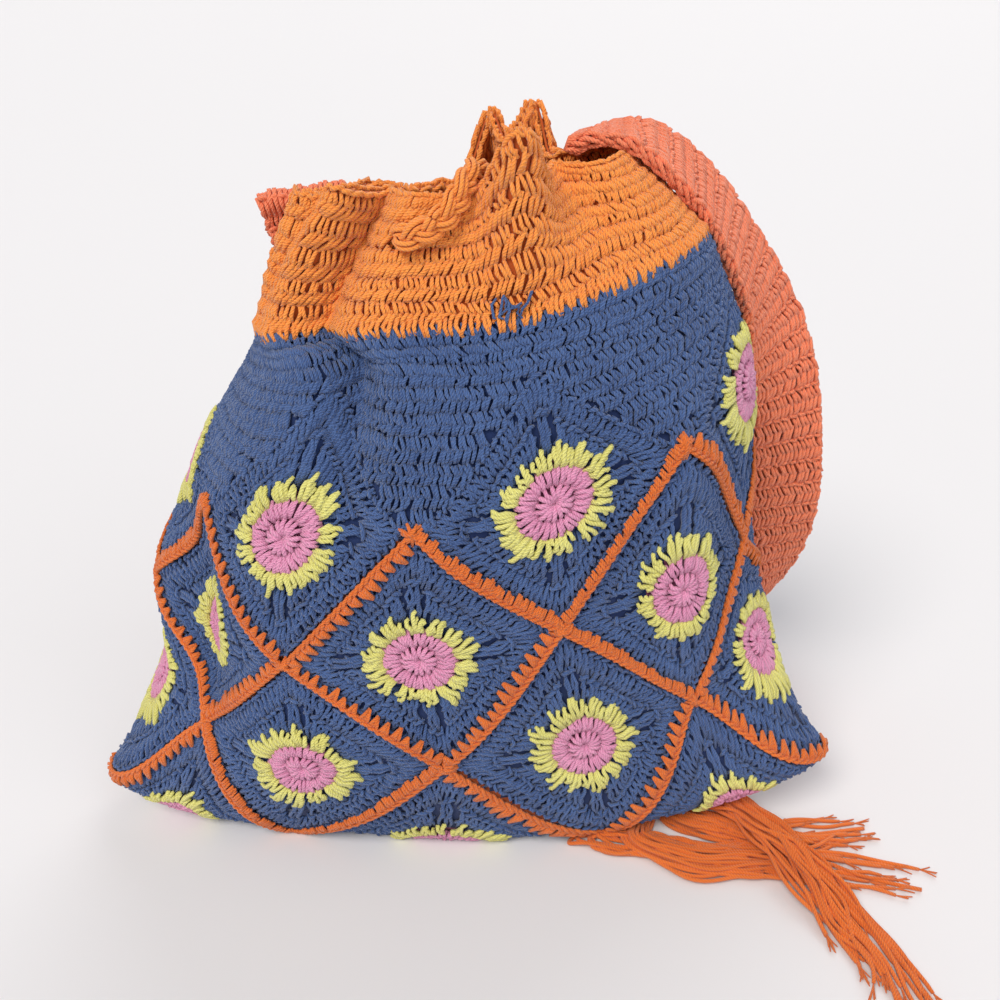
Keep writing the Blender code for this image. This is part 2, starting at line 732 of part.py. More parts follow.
def make_strap():
    """A crocheted strap, sewn to both ends of the rim and laid down behind the bag."""
    middles = smooth_curve([station[0] for station in STRAP_ROUTE], (len(STRAP_ROUTE) - 1) * STRAP_STEPS + 1)
    across = smooth_curve([station[1] for station in STRAP_ROUTE], len(middles))
    along = np.gradient(middles, axis=0)
    along /= np.linalg.norm(along, axis=1, keepdims=True)
    across -= along * (across * along).sum(1, keepdims=True)
    across /= np.linalg.norm(across, axis=1, keepdims=True)
    facing = np.cross(along, across)
    half_width = STRAP_WIDTH / 2
    half_thickness = STRAP_THICKNESS / 2
    flat = half_width - STRAP_THICKNESS * STRAP_ROUNDING
    section = (
        (half_width, 0.0), (flat, half_thickness), (-flat, half_thickness),
        (-half_width, 0.0), (-flat, -half_thickness), (flat, -half_thickness),
    )
    mesh = bmesh.new()
    rings = []
    for middle, side, face in zip(middles, across, facing):
        rings.append([mesh.verts.new(middle + side * x + face * y) for x, y in section])
    for a, b in zip(rings, rings[1:]):
        for i in range(len(section)):
            j = (i + 1) % len(section)
            mesh.faces.new((a[i], a[j], b[j], b[i]))
    mesh.faces.new(list(reversed(rings[0])))
    mesh.faces.new(rings[-1])
    bmesh.ops.recalc_face_normals(mesh, faces=mesh.faces[:])
    bmesh.ops.triangulate(mesh, faces=mesh.faces[:])
    lowest = min(vertex.co.z for vertex in mesh.verts)
    for vertex in mesh.verts:
        vertex.co.z += max(0.0, FLOOR_GAP - lowest) * (vertex.co.z < STRAP_WIDTH)
    data = bpy.data.meshes.new("shoulder_strap")
    mesh.to_mesh(data)
    mesh.free()
    data.shade_smooth()
    add_object("shoulder_strap", data, ("coral strap cotton",))


def make_tassel():
    """Locks of long yarn ends that leave a wrapped binding under the bag's corner and lie on the floor."""
    for number, (route, widths) in enumerate(TASSEL_LOCKS, 1):
        points = smooth_curve(route, TASSEL_LOCK_POINTS)
        radii = np.interp(np.linspace(0, 2, len(points)), (0, 1, 2), widths)
        points[:, 2] += radii * TASSEL_LOCK_DEPTH + FLOOR_GAP
        tube(f"tassel_lock_{number}", points, radii, "orange join cotton", flattening=TASSEL_LOCK_DEPTH)
    centre = (*BINDING_CENTRE, BINDING_RADIUS + FLOOR_GAP)
    bpy.ops.mesh.primitive_cylinder_add(
        vertices=BINDING_SIDES,
        radius=BINDING_RADIUS,
        depth=BINDING_LENGTH,
        location=centre,
        rotation=(math.radians(90), 0, 0),
    )
    binding = bpy.context.object
    binding.name = "tassel_binding"
    for collection in list(binding.users_collection):
        collection.objects.unlink(binding)
    bag.objects.link(binding)
    binding.data.materials.append(new_material("orange join cotton on tassel_binding"))


def main():
    for row, letter in ((0, "d"), (1, "c"), (2, "b")):
        first = 1 - row % 2
        last = COLUMNS // 2 if row == 0 else COLUMNS
        for number, column in enumerate(range(first, last, 2), 1):
            make_square(f"square_{letter}{number}", (column, row))
            make_flower(f"flower_{letter}{number}", (column, row), 1.0)
    for number, column in enumerate(range(0, COLUMNS, 2), 1):
        make_flower(f"flower_a{number}", (column, 3), YOKE_FLOWER_WIDENING)
    make_yoke()
    make_joins()
    make_band()
    make_drawstring()
    make_strap()
    make_tassel()


for thing in list(bpy.data.objects):
    bpy.data.objects.remove(thing)
bag = bpy.data.collections.new("granny square shoulder bag")
bpy.context.scene.collection.children.link(bag)
main()
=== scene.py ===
import math
from collections import namedtuple

import bpy
import numpy as np
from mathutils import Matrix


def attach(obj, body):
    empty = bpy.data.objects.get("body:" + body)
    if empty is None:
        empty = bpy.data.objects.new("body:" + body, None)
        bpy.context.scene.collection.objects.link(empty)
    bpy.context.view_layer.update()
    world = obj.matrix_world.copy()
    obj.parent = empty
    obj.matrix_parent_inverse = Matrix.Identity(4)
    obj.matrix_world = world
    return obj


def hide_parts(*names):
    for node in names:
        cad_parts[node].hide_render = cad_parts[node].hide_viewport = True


# The looks of a crocheted shoulder bag. Every stitch is laid as cotton yarn on the bag's slouched form, which
# the bag's own source works out in the same way. A column runs round the cloth and a fabric height runs up
# it. Lengths are in metres.
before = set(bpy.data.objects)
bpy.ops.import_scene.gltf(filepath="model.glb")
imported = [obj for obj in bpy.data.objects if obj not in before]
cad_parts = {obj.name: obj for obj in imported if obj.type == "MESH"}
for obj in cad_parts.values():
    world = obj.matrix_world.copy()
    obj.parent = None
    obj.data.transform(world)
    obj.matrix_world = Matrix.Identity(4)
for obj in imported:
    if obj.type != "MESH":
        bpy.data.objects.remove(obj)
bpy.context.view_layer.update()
rng = np.random.default_rng(7)

# The flat cloth: half the width of a square from corner to corner, the columns of half squares round it, its
# thickness, and the heights of the blue yoke and of the band
HALF_PITCH = 0.080
COLUMNS = 12
WALL = 0.0045
YOKE_RISE = 0.028
BAND_ROWS = 5
BAND_ROW_HEIGHT = 0.0145
YOKE_TOP = 4 * HALF_PITCH + YOKE_RISE
RIM = YOKE_TOP + BAND_ROWS * BAND_ROW_HEIGHT
FLOOR_GAP = 0.0003
UP = (0.0, 0.0, 1.0)

# A level of the bag's form: points of its two ends, front and back as (y, z), turn of the two side columns
# towards the front in degrees, drift and spread of the columns, tilt of the row
Level = namedtuple("Level", "height left right front back turns drift spread tilt")
LEVELS = (
    Level(
        height=0.0, left=(-0.233, -0.033, 0.027), right=(0.226, -0.005, 0.047),
        front=(-0.055, 0.0), back=(-0.055, 0.0), turns=(0, 0), drift=0.010, spread=0.023, tilt=0.0,
    ),
    Level(
        height=1 * HALF_PITCH, left=(-0.192, -0.010, 0.106), right=(0.184, 0.025, 0.129),
        front=(-0.077, 0.080), back=(0.035, 0.0), turns=(16, 18), drift=0.006, spread=0.019, tilt=0.0,
    ),
    Level(
        height=2 * HALF_PITCH, left=(-0.180, 0.000, 0.170), right=(0.166, 0.027, 0.198),
        front=(-0.081, 0.158), back=(0.083, 0.078), turns=(12, 18), drift=0.010, spread=0.017, tilt=0.034,
    ),
    Level(
        height=3 * HALF_PITCH, left=(-0.154, 0.000, 0.244), right=(0.155, 0.025, 0.294),
        front=(-0.083, 0.239), back=(0.097, 0.168), turns=(8, 14), drift=0.024, spread=0.012, tilt=0.029,
    ),
    Level(
        height=4 * HALF_PITCH, left=(-0.117, 0.000, 0.303), right=(0.130, 0.015, 0.356),
        front=(-0.071, 0.320), back=(0.081, 0.257), turns=(12, 8), drift=0.040, spread=0.0, tilt=0.010,
    ),
    Level(
        height=YOKE_TOP, left=(-0.106, -0.005, 0.323), right=(0.120, 0.005, 0.373),
        front=(-0.063, 0.340), back=(0.072, 0.288), turns=(2, 6), drift=0.060, spread=0.024, tilt=0.010,
    ),
    Level(
        height=RIM, left=(-0.078, -0.005, 0.388), right=(0.078, 0.002, 0.410),
        front=(-0.041, 0.396), back=(0.033, 0.388), turns=(0, 0), drift=0.016, spread=0.0, tilt=0.0,
    ),
)

# A fold: column at its foot and head, fabric height of its foot and head, half width in columns,
# depth outwards (below zero it is a valley) and lift of the cloth there
FOLDS = (
    # Slouch of the body
    (0.98, 0.80, 0.060, 0.250, 0.50, -0.018, -0.006),
    (0.05, -0.05, 0.090, 0.230, 0.45, 0.008, 0.0),
    (2.00, 1.90, 0.010, 0.150, 0.80, 0.010, 0.0),
    (2.55, 1.95, 0.200, 0.500, 0.30, -0.020, 0.0),
    (5.15, 5.00, 0.060, 0.300, 0.35, 0.010, 0.0),
    (7.60, 7.90, 0.150, 0.500, 0.45, -0.014, 0.0),
    (10.3, 10.1, 0.120, 0.480, 0.45, -0.014, 0.0),
    # Pleats of the gathered band, front and then back
    (0.80, 0.75, 0.310, 0.560, 0.28, 0.008, 0.005),
    (1.60, 1.45, 0.310, 0.560, 0.26, 0.008, 0.006),
    (4.10, 3.92, 0.350, 0.560, 0.30, 0.022, 0.032),
    (4.85, 4.75, 0.330, 0.560, 0.40, -0.018, 0.004),
    (6.60, 6.70, 0.330, 0.560, 0.34, 0.010, 0.008),
    (7.25, 7.25, 0.330, 0.560, 0.24, -0.008, 0.010),
    (7.80, 7.75, 0.330, 0.560, 0.26, 0.014, 0.036),
    (8.15, 8.10, 0.330, 0.560, 0.20, -0.010, 0.012),
    (8.50, 8.45, 0.330, 0.560, 0.26, 0.014, 0.034),
    (9.70, 9.70, 0.330, 0.560, 0.34, -0.010, 0.0),
    (10.4, 10.4, 0.330, 0.560, 0.34, 0.008, 0.0),
    (11.2, 11.2, 0.330, 0.560, 0.32, -0.008, 0.0),
)
FOLD_FADE = 0.4
LEFT_BLUNTNESS = 0.62
RING_SAMPLES = 20001
FOLD_REACH = 0.05
NORMAL_REACH = 0.02
TIP_PUFF = 0.45
TIP_REACH = 0.050

# Route of the drawstring: column, distance below the rim, and distance out of the unfolded cloth
CORD_ROUTE = (
    (3.10, 0.0120, 0.0115),
    (2.93, 0.0170, 0.0110),
    (2.79, 0.0200, 0.0082),
    (2.75, 0.0207, 0.0000),
    (2.73, 0.0224, -0.0095),
    (2.65, 0.0232, -0.0190),
    (2.38, 0.0230, -0.0325),
    (1.80, 0.0220, -0.0330),
    (1.45, 0.0220, -0.0250),
    (0.90, 0.0220, -0.0120),
    (0.10, 0.0220, -0.0120),
    (11.2, 0.0220, -0.0210),
    (10.4, 0.0220, -0.0140),
    (9.70, 0.0220, -0.0230),
    (9.00, 0.0220, -0.0150),
    (8.20, 0.0220, -0.0210),
    (7.30, 0.0220, -0.0230),
    (6.50, 0.0220, -0.0150),
    (6.00, 0.0220, -0.0150),
    (5.40, 0.0220, -0.0190),
    (4.80, 0.0200, -0.0310),
    (4.20, 0.0120, -0.0200),
    (3.80, 0.0020, -0.0150),
    (3.62, -0.0080, -0.0100),
    (3.43, -0.0140, -0.0010),
    (3.32, -0.0100, 0.0080),
    (3.22, 0.0030, 0.0110),
)

# Stations of the strap: its middle and the direction across it
STRAP_ROUTE = (
    ((0.054, 0.0185, 0.4114), (0.35, 0.90, 0.05)),
    ((0.070, 0.0175, 0.4169), (0.34, 0.93, 0.02)),
    ((0.088, 0.0180, 0.4155), (0.34, 0.94, 0.02)),
    ((0.107, 0.0205, 0.4040), (0.34, 0.94, 0.02)),
    ((0.130, 0.0285, 0.3810), (0.36, 0.93, 0.04)),
    ((0.149, 0.0370, 0.3530), (0.42, 0.90, 0.06)),
    ((0.167, 0.0490, 0.3200), (0.60, 0.80, 0.08)),
    ((0.180, 0.0575, 0.2830), (0.85, 0.52, 0.06)),
    ((0.1900, 0.0660, 0.2370), (0.97, 0.24, 0.04)),
    ((0.1980, 0.0780, 0.1800), (1.00, 0.15, 0.00)),
    ((0.1990, 0.0920, 0.1270), (0.90, 0.45, 0.00)),
    ((0.1900, 0.1080, 0.0720), (0.60, 0.80, 0.10)),
    ((0.172, 0.123, 0.030), (0.40, 0.90, 0.05)),
    ((0.138, 0.135, 0.006), (0.25, 0.97, 0.00)),
    ((0.085, 0.142, 0.003), (0.05, 1.00, 0.00)),
    ((0.020, 0.143, 0.003), (0.00, 1.00, 0.00)),
    ((-0.045, 0.141, 0.003), (-0.05, 1.00, 0.00)),
    ((-0.100, 0.135, 0.014), (0.10, 1.00, 0.15)),
    ((-0.118, 0.125, 0.055), (0.45, 0.85, 0.20)),
    ((-0.122, 0.112, 0.115), (0.80, 0.60, 0.05)),
    ((-0.119, 0.100, 0.180), (0.93, 0.36, 0.00)),
    ((-0.110, 0.086, 0.240), (0.95, 0.28, 0.05)),
    ((-0.098, 0.066, 0.297), (0.96, 0.22, 0.10)),
    ((-0.088, 0.040, 0.345), (0.96, 0.15, 0.15)),
    ((-0.092, 0.0262, 0.385), (0.97, 0.05, 0.20)),
)

# Tassel locks on the floor: middle points (x, y, height above it) and half widths at root, middle and end
TASSEL_LOCKS = (
    (
        (
            (0.1117, -0.0095, 0.0), (0.1115, -0.018, 0.0), (0.113, -0.031, 0.0), (0.1085, -0.045, 0.0),
            (0.112, -0.059, 0.0), (0.145, -0.070, 0.0), (0.186, -0.067, 0.0), (0.226, -0.069, 0.0),
            (0.279, -0.079, 0.0),
        ),
        (0.0026, 0.0080, 0.0090),
    ),
    (
        (
            (0.1174, -0.0095, 0.0), (0.1205, -0.018, 0.0), (0.135, -0.029, 0.0), (0.155, -0.038, 0.0),
            (0.184, -0.043, 0.0), (0.216, -0.041, 0.0), (0.256, -0.032, 0.0),
        ),
        (0.0026, 0.0070, 0.0070),
    ),
    (
        (
            (0.1236, -0.0095, 0.0), (0.133, -0.0165, 0.0), (0.148, -0.0175, 0.002), (0.170, -0.026, 0.0085),
            (0.192, -0.051, 0.0105), (0.212, -0.083, 0.0075), (0.229, -0.111, 0.0), (0.243, -0.139, 0.0),
            (0.249, -0.169, 0.0),
        ),
        (0.0026, 0.0075, 0.0095),
    ),
)

BINDING_CENTRE = (0.1174, 0.0035)
BINDING_RADIUS = 0.0075
BINDING_LENGTH = 0.024


def smooth(t):
    t = np.clip(t, 0, 1)
    return t * t * (3 - 2 * t)


def ring(level, angle):
    """Points of a level's ring. The left end is at 180 degrees and the front at 270."""
    c = np.cos(angle)
    s = np.sin(angle)
    share = (1 + c) / 2
    left, right = level.left, level.right
    side_y = left[1] + (right[1] - left[1]) * share
    middle_y = (left[1] + right[1]) / 2
    face_y = np.where(s < 0, level.front[0], level.back[0])
    face_z = np.where(s < 0, level.front[1], level.back[1])
    side_z = np.where(c < 0, left[2], right[2])
    blunt = np.where(c < 0, -np.abs(c) ** LEFT_BLUNTNESS, c)
    x = left[0] + (right[0] - left[0]) * (1 + blunt) / 2
    y = side_y + (face_y - middle_y) * np.abs(s)
    z = side_z * c * c + (face_z + level.tilt * c) * s * s
    return np.stack([x, y, z], -1)


def column_angles(level):
    """Columns against ring angles, spaced evenly along the front and along the back."""
    turn_left, turn_right = (math.radians(turn) for turn in level.turns)
    columns = []
    angles = []
    for start, end in ((math.pi + turn_left, 2 * math.pi - turn_right), (-turn_right, math.pi + turn_left)):
        swept = np.linspace(start, end, RING_SAMPLES)
        steps = np.linalg.norm(np.diff(ring(level, swept), axis=0), axis=1)
        run = np.concatenate([[0], np.cumsum(steps)])
        columns.append(run / run[-1] * COLUMNS / 2)
        angles.append(swept)
    return columns, angles


RINGS = [column_angles(level) for level in LEVELS]


def ring_at(index, u):
    """The unfolded cloth at column u on one level."""
    columns, angles = RINGS[index]
    level = LEVELS[index]
    half = COLUMNS / 2
    u = np.mod(u, COLUMNS)
    across = np.where(u < half, u, COLUMNS - u)
    wave = math.pi * across / half
    shift = level.drift * np.sin(wave) + level.spread * np.sin(2 * wave)
    across = np.clip(across - shift / HALF_PITCH, 0, half)
    front = np.interp(across, columns[0], angles[0])
    back = np.interp(half - across, columns[1], angles[1])
    return ring(level, np.where(u < half, front, back))


def plain_form(u, h):
    """The unfolded cloth at column u and fabric height h, on a smooth curve through the levels."""
    u, h = np.broadcast_arrays(np.asarray(u, float), np.asarray(h, float))
    u = np.where(h < 0, -u, u)
    h = np.abs(h)
    heights = [level.height for level in LEVELS]
    rings = [ring_at(1, -u)] + [ring_at(k, u) for k in range(len(LEVELS))]
    rings.append(2 * rings[-1] - rings[-2])
    rings = np.stack(rings)
    at = np.array([-heights[1]] + heights + [2 * heights[-1] - heights[-2]])
    k = np.clip(np.searchsorted(heights, h, side="right") - 1, 0, len(heights) - 2) + 1
    grid = tuple(np.indices(h.shape))
    before, low, high, after = (rings[(k + j,) + grid] for j in (-1, 0, 1, 2))
    span = (at[k + 1] - at[k])[..., None]
    slope_low = (high - before) / (at[k + 1] - at[k - 1])[..., None] * span
    slope_high = (after - low) / (at[k + 2] - at[k])[..., None] * span
    t = ((h - at[k]) / (at[k + 1] - at[k]))[..., None]
    low_share = 2 * t**3 - 3 * t**2 + 1
    return (
        low_share * low
        + (1 - low_share) * high
        + (t**3 - 2 * t**2 + t) * slope_low
        + (t**3 - t**2) * slope_high
    )


def level_outward(u, h):
    """Horizontal direction out of the unfolded cloth."""
    along = plain_form(u + FOLD_REACH, h) - plain_form(u - FOLD_REACH, h)
    out = np.stack([along[..., 1], -along[..., 0], np.zeros_like(along[..., 0])], -1)
    return out / np.maximum(np.linalg.norm(out, axis=-1, keepdims=True), 1e-9)


def form(u, h):
    """The middle of the cloth at column u and fabric height h, folded, and resting on the floor."""
    u, h = np.broadcast_arrays(np.asarray(u, float), np.asarray(h, float))
    u = np.mod(np.where(h < 0, -u, u), COLUMNS)
    h = np.abs(h)
    depth = np.zeros_like(h)
    lift = np.zeros_like(h)
    for foot, head, low, high, width, reach, rise in FOLDS:
        t = (h - low) / (high - low)
        middle = foot + (head - foot) * np.clip(t, 0, 1)
        away = np.mod(u - middle + COLUMNS / 2, COLUMNS) - COLUMNS / 2
        amount = smooth(t / FOLD_FADE) * smooth((1 - t) / FOLD_FADE) * np.exp(-((away / width) ** 2))
        depth = depth + reach * amount
        lift = lift + rise * amount
    points = plain_form(u, h) + level_outward(u, h) * depth[..., None]
    points[..., 1] += tip_puff(u, h)
    points[..., 2] = np.maximum(points[..., 2] + lift, WALL / 2)
    return points


def from_tips(u, h):
    """Distance along the cloth to the nearer bottom corner, and the angle up from the fold there."""
    half = COLUMNS / 2
    along = np.abs(np.mod(u + half / 2, half) - half / 2) * HALF_PITCH
    return np.hypot(along, h), np.arctan2(h, along)


def tip_puff(u, h):
    """How far the two layers of a bottom corner stand apart, as the cone that the folded cloth makes."""
    distance, angle = from_tips(u, h)
    puff = TIP_PUFF * distance * np.exp(-((distance / TIP_REACH) ** 2)) * np.sin(2 * angle)
    return np.where(u < COLUMNS / 2, -puff, puff)


def cloth_normal(u, h):
    """Direction out of the folded cloth."""
    reach = NORMAL_REACH * HALF_PITCH
    across = form(u + NORMAL_REACH, h) - form(u - NORMAL_REACH, h)
    upward = form(u, h + reach) - form(u, h - reach)
    out = np.cross(across, upward)
    return out / np.maximum(np.linalg.norm(out, axis=-1, keepdims=True), 1e-12)


# Making the yarn


def smooth_curve(points, count, closed=False):
    """Evenly stepped points on a smooth curve through the given ones."""
    points = np.array(points, float)
    if closed:
        padded = np.concatenate([points[-1:], points, points[:2]])
    else:
        padded = np.concatenate([2 * points[:1] - points[1:2], points, 2 * points[-1:] - points[-2:-1]])
    spans = len(padded) - 3
    at = np.linspace(0, spans, count, endpoint=not closed)
    k = np.minimum(at.astype(int), spans - 1)
    t = (at - k)[:, None]
    a, b, c, d = (padded[k + j] for j in range(4))
    bend = 2 * a - 5 * b + 4 * c - d
    twist = 3 * b - a - 3 * c + d
    return 0.5 * (2 * b + (c - a) * t + bend * t**2 + twist * t**3)


def unit(vectors):
    return vectors / np.maximum(np.linalg.norm(vectors, axis=-1, keepdims=True), 1e-12)


def run_along(points):
    """Length along a line, at each of its points."""
    return np.concatenate([[0], np.cumsum(np.linalg.norm(np.diff(points, axis=0), axis=1))])


def on_cloth(column, height, lift):
    """Places over the cloth's outer face (lift above zero) or inside it, and the direction out there."""
    out = cloth_normal(column, height)
    places = form(column, height) + out * lift[..., None]
    return places, out


class Yarn:
    """Strands of yarn that become one mesh. Strands of equally many points are added together."""

    def __init__(self, sides=4):
        self.sides = sides
        self.batches = []

    def add(self, points, out, radius, finish=0, taper=0.75):
        """points and out are (strands, points, 3). The ends are drawn in to the taper."""
        strands, count, _ = points.shape
        radii = np.full((strands, count), radius, float)
        radii[:, 0] *= taper
        radii[:, -1] *= taper
        points = points.copy()
        points[..., 2] = np.maximum(points[..., 2], radii + FLOOR_GAP)
        self.batches.append((points, out, radii, finish))

    def lay(self, column, height, lift, radius, finish=0, taper=0.75):
        """Adds strands given on the flat cloth."""
        places, out = on_cloth(column, height, lift)
        self.add(places, out, radius, finish, taper)

    def piece(self, name, materials, slot, nodes=()):
        """Makes the mesh, with each strand's own tint and its length and girth as a map for the twist."""
        places = []
        corners = []
        sizes = []
        finishes = []
        maps = []
        tints = []
        start = 0
        for points, out, radii, finish in self.batches:
            strands, count, _ = points.shape
            along = unit(np.gradient(points, axis=1))
            side = unit(np.cross(along, out))
            up = np.cross(side, along)
            angles = 2 * math.pi * (np.arange(self.sides) + 0.5) / self.sides
            turn = (
                np.cos(angles)[:, None] * side[:, :, None, :]
                + np.sin(angles)[:, None] * up[:, :, None, :]
            )
            rings = points[:, :, None, :] + radii[:, :, None, None] * turn
            places.append(rings.reshape(-1, 3))
            number = start + np.arange(strands * count * self.sides).reshape(strands, count, self.sides)
            start += number.size
            steps = np.linalg.norm(np.diff(points, axis=1), axis=2)
            run = np.concatenate([np.zeros((strands, 1)), np.cumsum(steps, axis=1)], axis=1)
            run = run + rng.uniform(0, 1, (strands, 1))
            following = np.roll(number, -1, axis=2)
            quads = np.stack([number[:, :-1], number[:, 1:], following[:, 1:], following[:, :-1]], -1)
            corners.append(quads.reshape(-1))
            sizes.append(np.full(quads.size // 4, 4))
            around = np.arange(self.sides) / self.sides
            girth = np.stack([around, around, around + 1 / self.sides, around + 1 / self.sides], -1)
            girth = np.broadcast_to(girth, quads.shape)
            length = np.stack([run[:, :-1], run[:, 1:], run[:, 1:], run[:, :-1]], -1)[:, :, None, :]
            length = np.broadcast_to(length, quads.shape)
            maps.append(np.stack([girth, length], -1).reshape(-1, 2))
            caps = np.stack([number[:, 0], number[:, -1, ::-1]], 1)
            corners.append(caps.reshape(-1))
            sizes.append(np.full(strands * 2, self.sides))
            maps.append(np.zeros((caps.size, 2)))
            finishes.append(np.full(quads.size // 4 + strands * 2, finish))
            tint = rng.uniform(0, 1, (strands, 1, 1))
            tints.append(np.broadcast_to(tint, (strands, count, self.sides)).reshape(-1))
        mesh = new_mesh(name, places, corners, sizes, finishes)
        twist = mesh.uv_layers.new(name="twist")
        twist.data.foreach_set("uv", np.concatenate(maps).astype(np.float32).reshape(-1))
        tint = mesh.attributes.new("tint", "FLOAT", "POINT")
        tint.data.foreach_set("value", np.concatenate(tints).astype(np.float32))
        return dressed(name, mesh, materials, nodes)


def new_mesh(name, places, corners, sizes, finishes):
    """A smooth mesh from its points, and from the corners, number of corners and finish of its faces."""
    places = np.concatenate(places).astype(np.float32)
    corners = np.concatenate(corners).astype(np.int32)
    sizes = np.concatenate(sizes).astype(np.int32)
    mesh = bpy.data.meshes.new(name)
    mesh.vertices.add(len(places))
    mesh.vertices.foreach_set("co", places.reshape(-1))
    mesh.loops.add(len(corners))
    mesh.loops.foreach_set("vertex_index", corners)
    mesh.polygons.add(len(sizes))
    starts = np.concatenate([[0], np.cumsum(sizes)[:-1]]).astype(np.int32)
    mesh.polygons.foreach_set("loop_start", starts)
    mesh.polygons.foreach_set("material_index", np.concatenate(finishes).astype(np.int32))
    mesh.polygons.foreach_set("use_smooth", np.ones(len(sizes), bool))
    mesh.update(calc_edges=True)
    return mesh


def dressed(name, mesh, materials, nodes):
    """Adds a mesh to the scene as a piece that rides with the bag and stands for its solids."""
    for material in materials:
        mesh.materials.append(material)
    piece = bpy.data.objects.new(name, mesh)
    bpy.context.scene.collection.objects.link(piece)
    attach(piece, "root")
    if nodes:
        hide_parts(*nodes)
    return piece


# Cotton yarn

# Four plies twist round each other once in 7.5 mm. The fibres are drawn 0.4 mm apart, far coarser than real
# ones, so that they show. The dye changes slowly, over about 40 mm.
PLIES = 4
PLY_LAY = 0.0075
FIBRE_GRAIN = 0.0004
DYE_SPREAD = 0.040
FUZZ = 0.35
RELIEF = 0.7
RELIEF_DEPTH = 0.0005

# How much of the light colour shows: by the ply, whose grooves get painted shade, by the strand and by the
# dye, and what is taken off it all
PLY_PAINTED_SHADE = 0.45
PLY_DEEPEST = 0.35
STRAND_SHADE = 0.30
DYE_SHADE = 0.5
SHADE_OFF = 0.28


def linear(hex_colour):
    """A colour written as sRGB hex, as Blender's linear values."""
    values = [int(hex_colour[i : i + 2], 16) / 255 for i in (1, 3, 5)]
    return [v / 12.92 if v <= 0.04045 else ((v + 0.055) / 1.055) ** 2.4 for v in values] + [1.0]


def add_node(owner, kind, inputs=(), **settings):
    """Adds a node to a material or world, with its settings, and with values or links for its inputs."""
    made = owner.node_tree.nodes.new(kind)
    for name, value in settings.items():
        setattr(made, name, value)
    for socket, value in dict(inputs).items():
        if isinstance(value, bpy.types.NodeSocket):
            owner.node_tree.links.new(value, made.inputs[socket])
        else:
            made.inputs[socket].default_value = value
    return made


def cotton_yarn(name, light, dark_dye_and_ply_shade):
    """Plied, twisted mercerised craft cotton: matt, soft fuzz, small dye changes, painted shade between
    plies.
    """
    material = bpy.data.materials.new(name)
    material.use_nodes = True
    shader = material.node_tree.nodes["Principled BSDF"]
    link = material.node_tree.links.new
    # The twist runs round the yarn PLIES times in each lay of the yarn's length
    place = add_node(material, "ShaderNodeUVMap", uv_map="twist")
    parts = add_node(material, "ShaderNodeSeparateXYZ", {0: place.outputs[0]})
    turns = add_node(material, "ShaderNodeMath", {0: parts.outputs[0], 1: PLIES}, operation="MULTIPLY")
    phase = add_node(
        material, "ShaderNodeMath", {0: parts.outputs[1], 1: PLIES / PLY_LAY, 2: turns.outputs[0]},
        operation="MULTIPLY_ADD",
    )
    angle = add_node(material, "ShaderNodeMath", {0: phase.outputs[0], 1: 2 * math.pi}, operation="MULTIPLY")
    wave = add_node(material, "ShaderNodeMath", {0: angle.outputs[0]}, operation="SINE")
    ply = add_node(
        material, "ShaderNodeMapRange", {"Value": wave.outputs[0], "From Min": -1.0, "From Max": 0.6}
    )
    # Fibres and dye
    spot = add_node(material, "ShaderNodeTexCoord")
    fibre = add_node(
        material, "ShaderNodeTexNoise",
        {"Vector": spot.outputs["Object"], "Scale": 1 / FIBRE_GRAIN, "Detail": 2.0, "Roughness": 0.6},
    )
    dye = add_node(
        material, "ShaderNodeTexNoise",
        {"Vector": spot.outputs["Object"], "Scale": 1 / DYE_SPREAD, "Detail": 2.0, "Roughness": 0.5},
    )
    tint = add_node(material, "ShaderNodeAttribute", attribute_name="tint")
    # Colour: painted shade in the grooves between the plies, and the light colour on top of them
    depth = add_node(
        material, "ShaderNodeMath", {0: ply.outputs[0], 1: PLY_PAINTED_SHADE, 2: PLY_DEEPEST},
        operation="MULTIPLY_ADD",
    )
    strand = add_node(
        material, "ShaderNodeMath", {0: tint.outputs["Fac"], 1: STRAND_SHADE, 2: depth.outputs[0]},
        operation="MULTIPLY_ADD",
    )
    mixed = add_node(
        material, "ShaderNodeMath", {0: dye.outputs["Fac"], 1: DYE_SHADE, 2: strand.outputs[0]},
        operation="MULTIPLY_ADD",
    )
    share = add_node(
        material, "ShaderNodeMath", {0: mixed.outputs[0], 1: SHADE_OFF}, operation="SUBTRACT", use_clamp=True
    )
    colour = add_node(
        material, "ShaderNodeMix", {"Factor": share.outputs[0], "A": linear(dark_dye_and_ply_shade), "B": linear(light)},
        data_type="RGBA",
    )
    link(colour.outputs["Result"], shader.inputs["Base Color"])
    # Relief: the plies, with the fuzz of the fibres on them
    relief = add_node(
        material, "ShaderNodeMath", {0: fibre.outputs["Fac"], 1: FUZZ, 2: ply.outputs[0]},
        operation="MULTIPLY_ADD",
    )
    bump = add_node(
        material, "ShaderNodeBump",
        {"Height": relief.outputs[0], "Strength": RELIEF, "Distance": RELIEF_DEPTH},
    )
    link(bump.outputs["Normal"], shader.inputs["Normal"])
    shader.inputs["Roughness"].default_value = 0.85
    shader.inputs["Specular IOR Level"].default_value = 0.25
    shader.inputs["Sheen Weight"].default_value = 0.25
    shader.inputs["Sheen Roughness"].default_value = 0.5
    return material
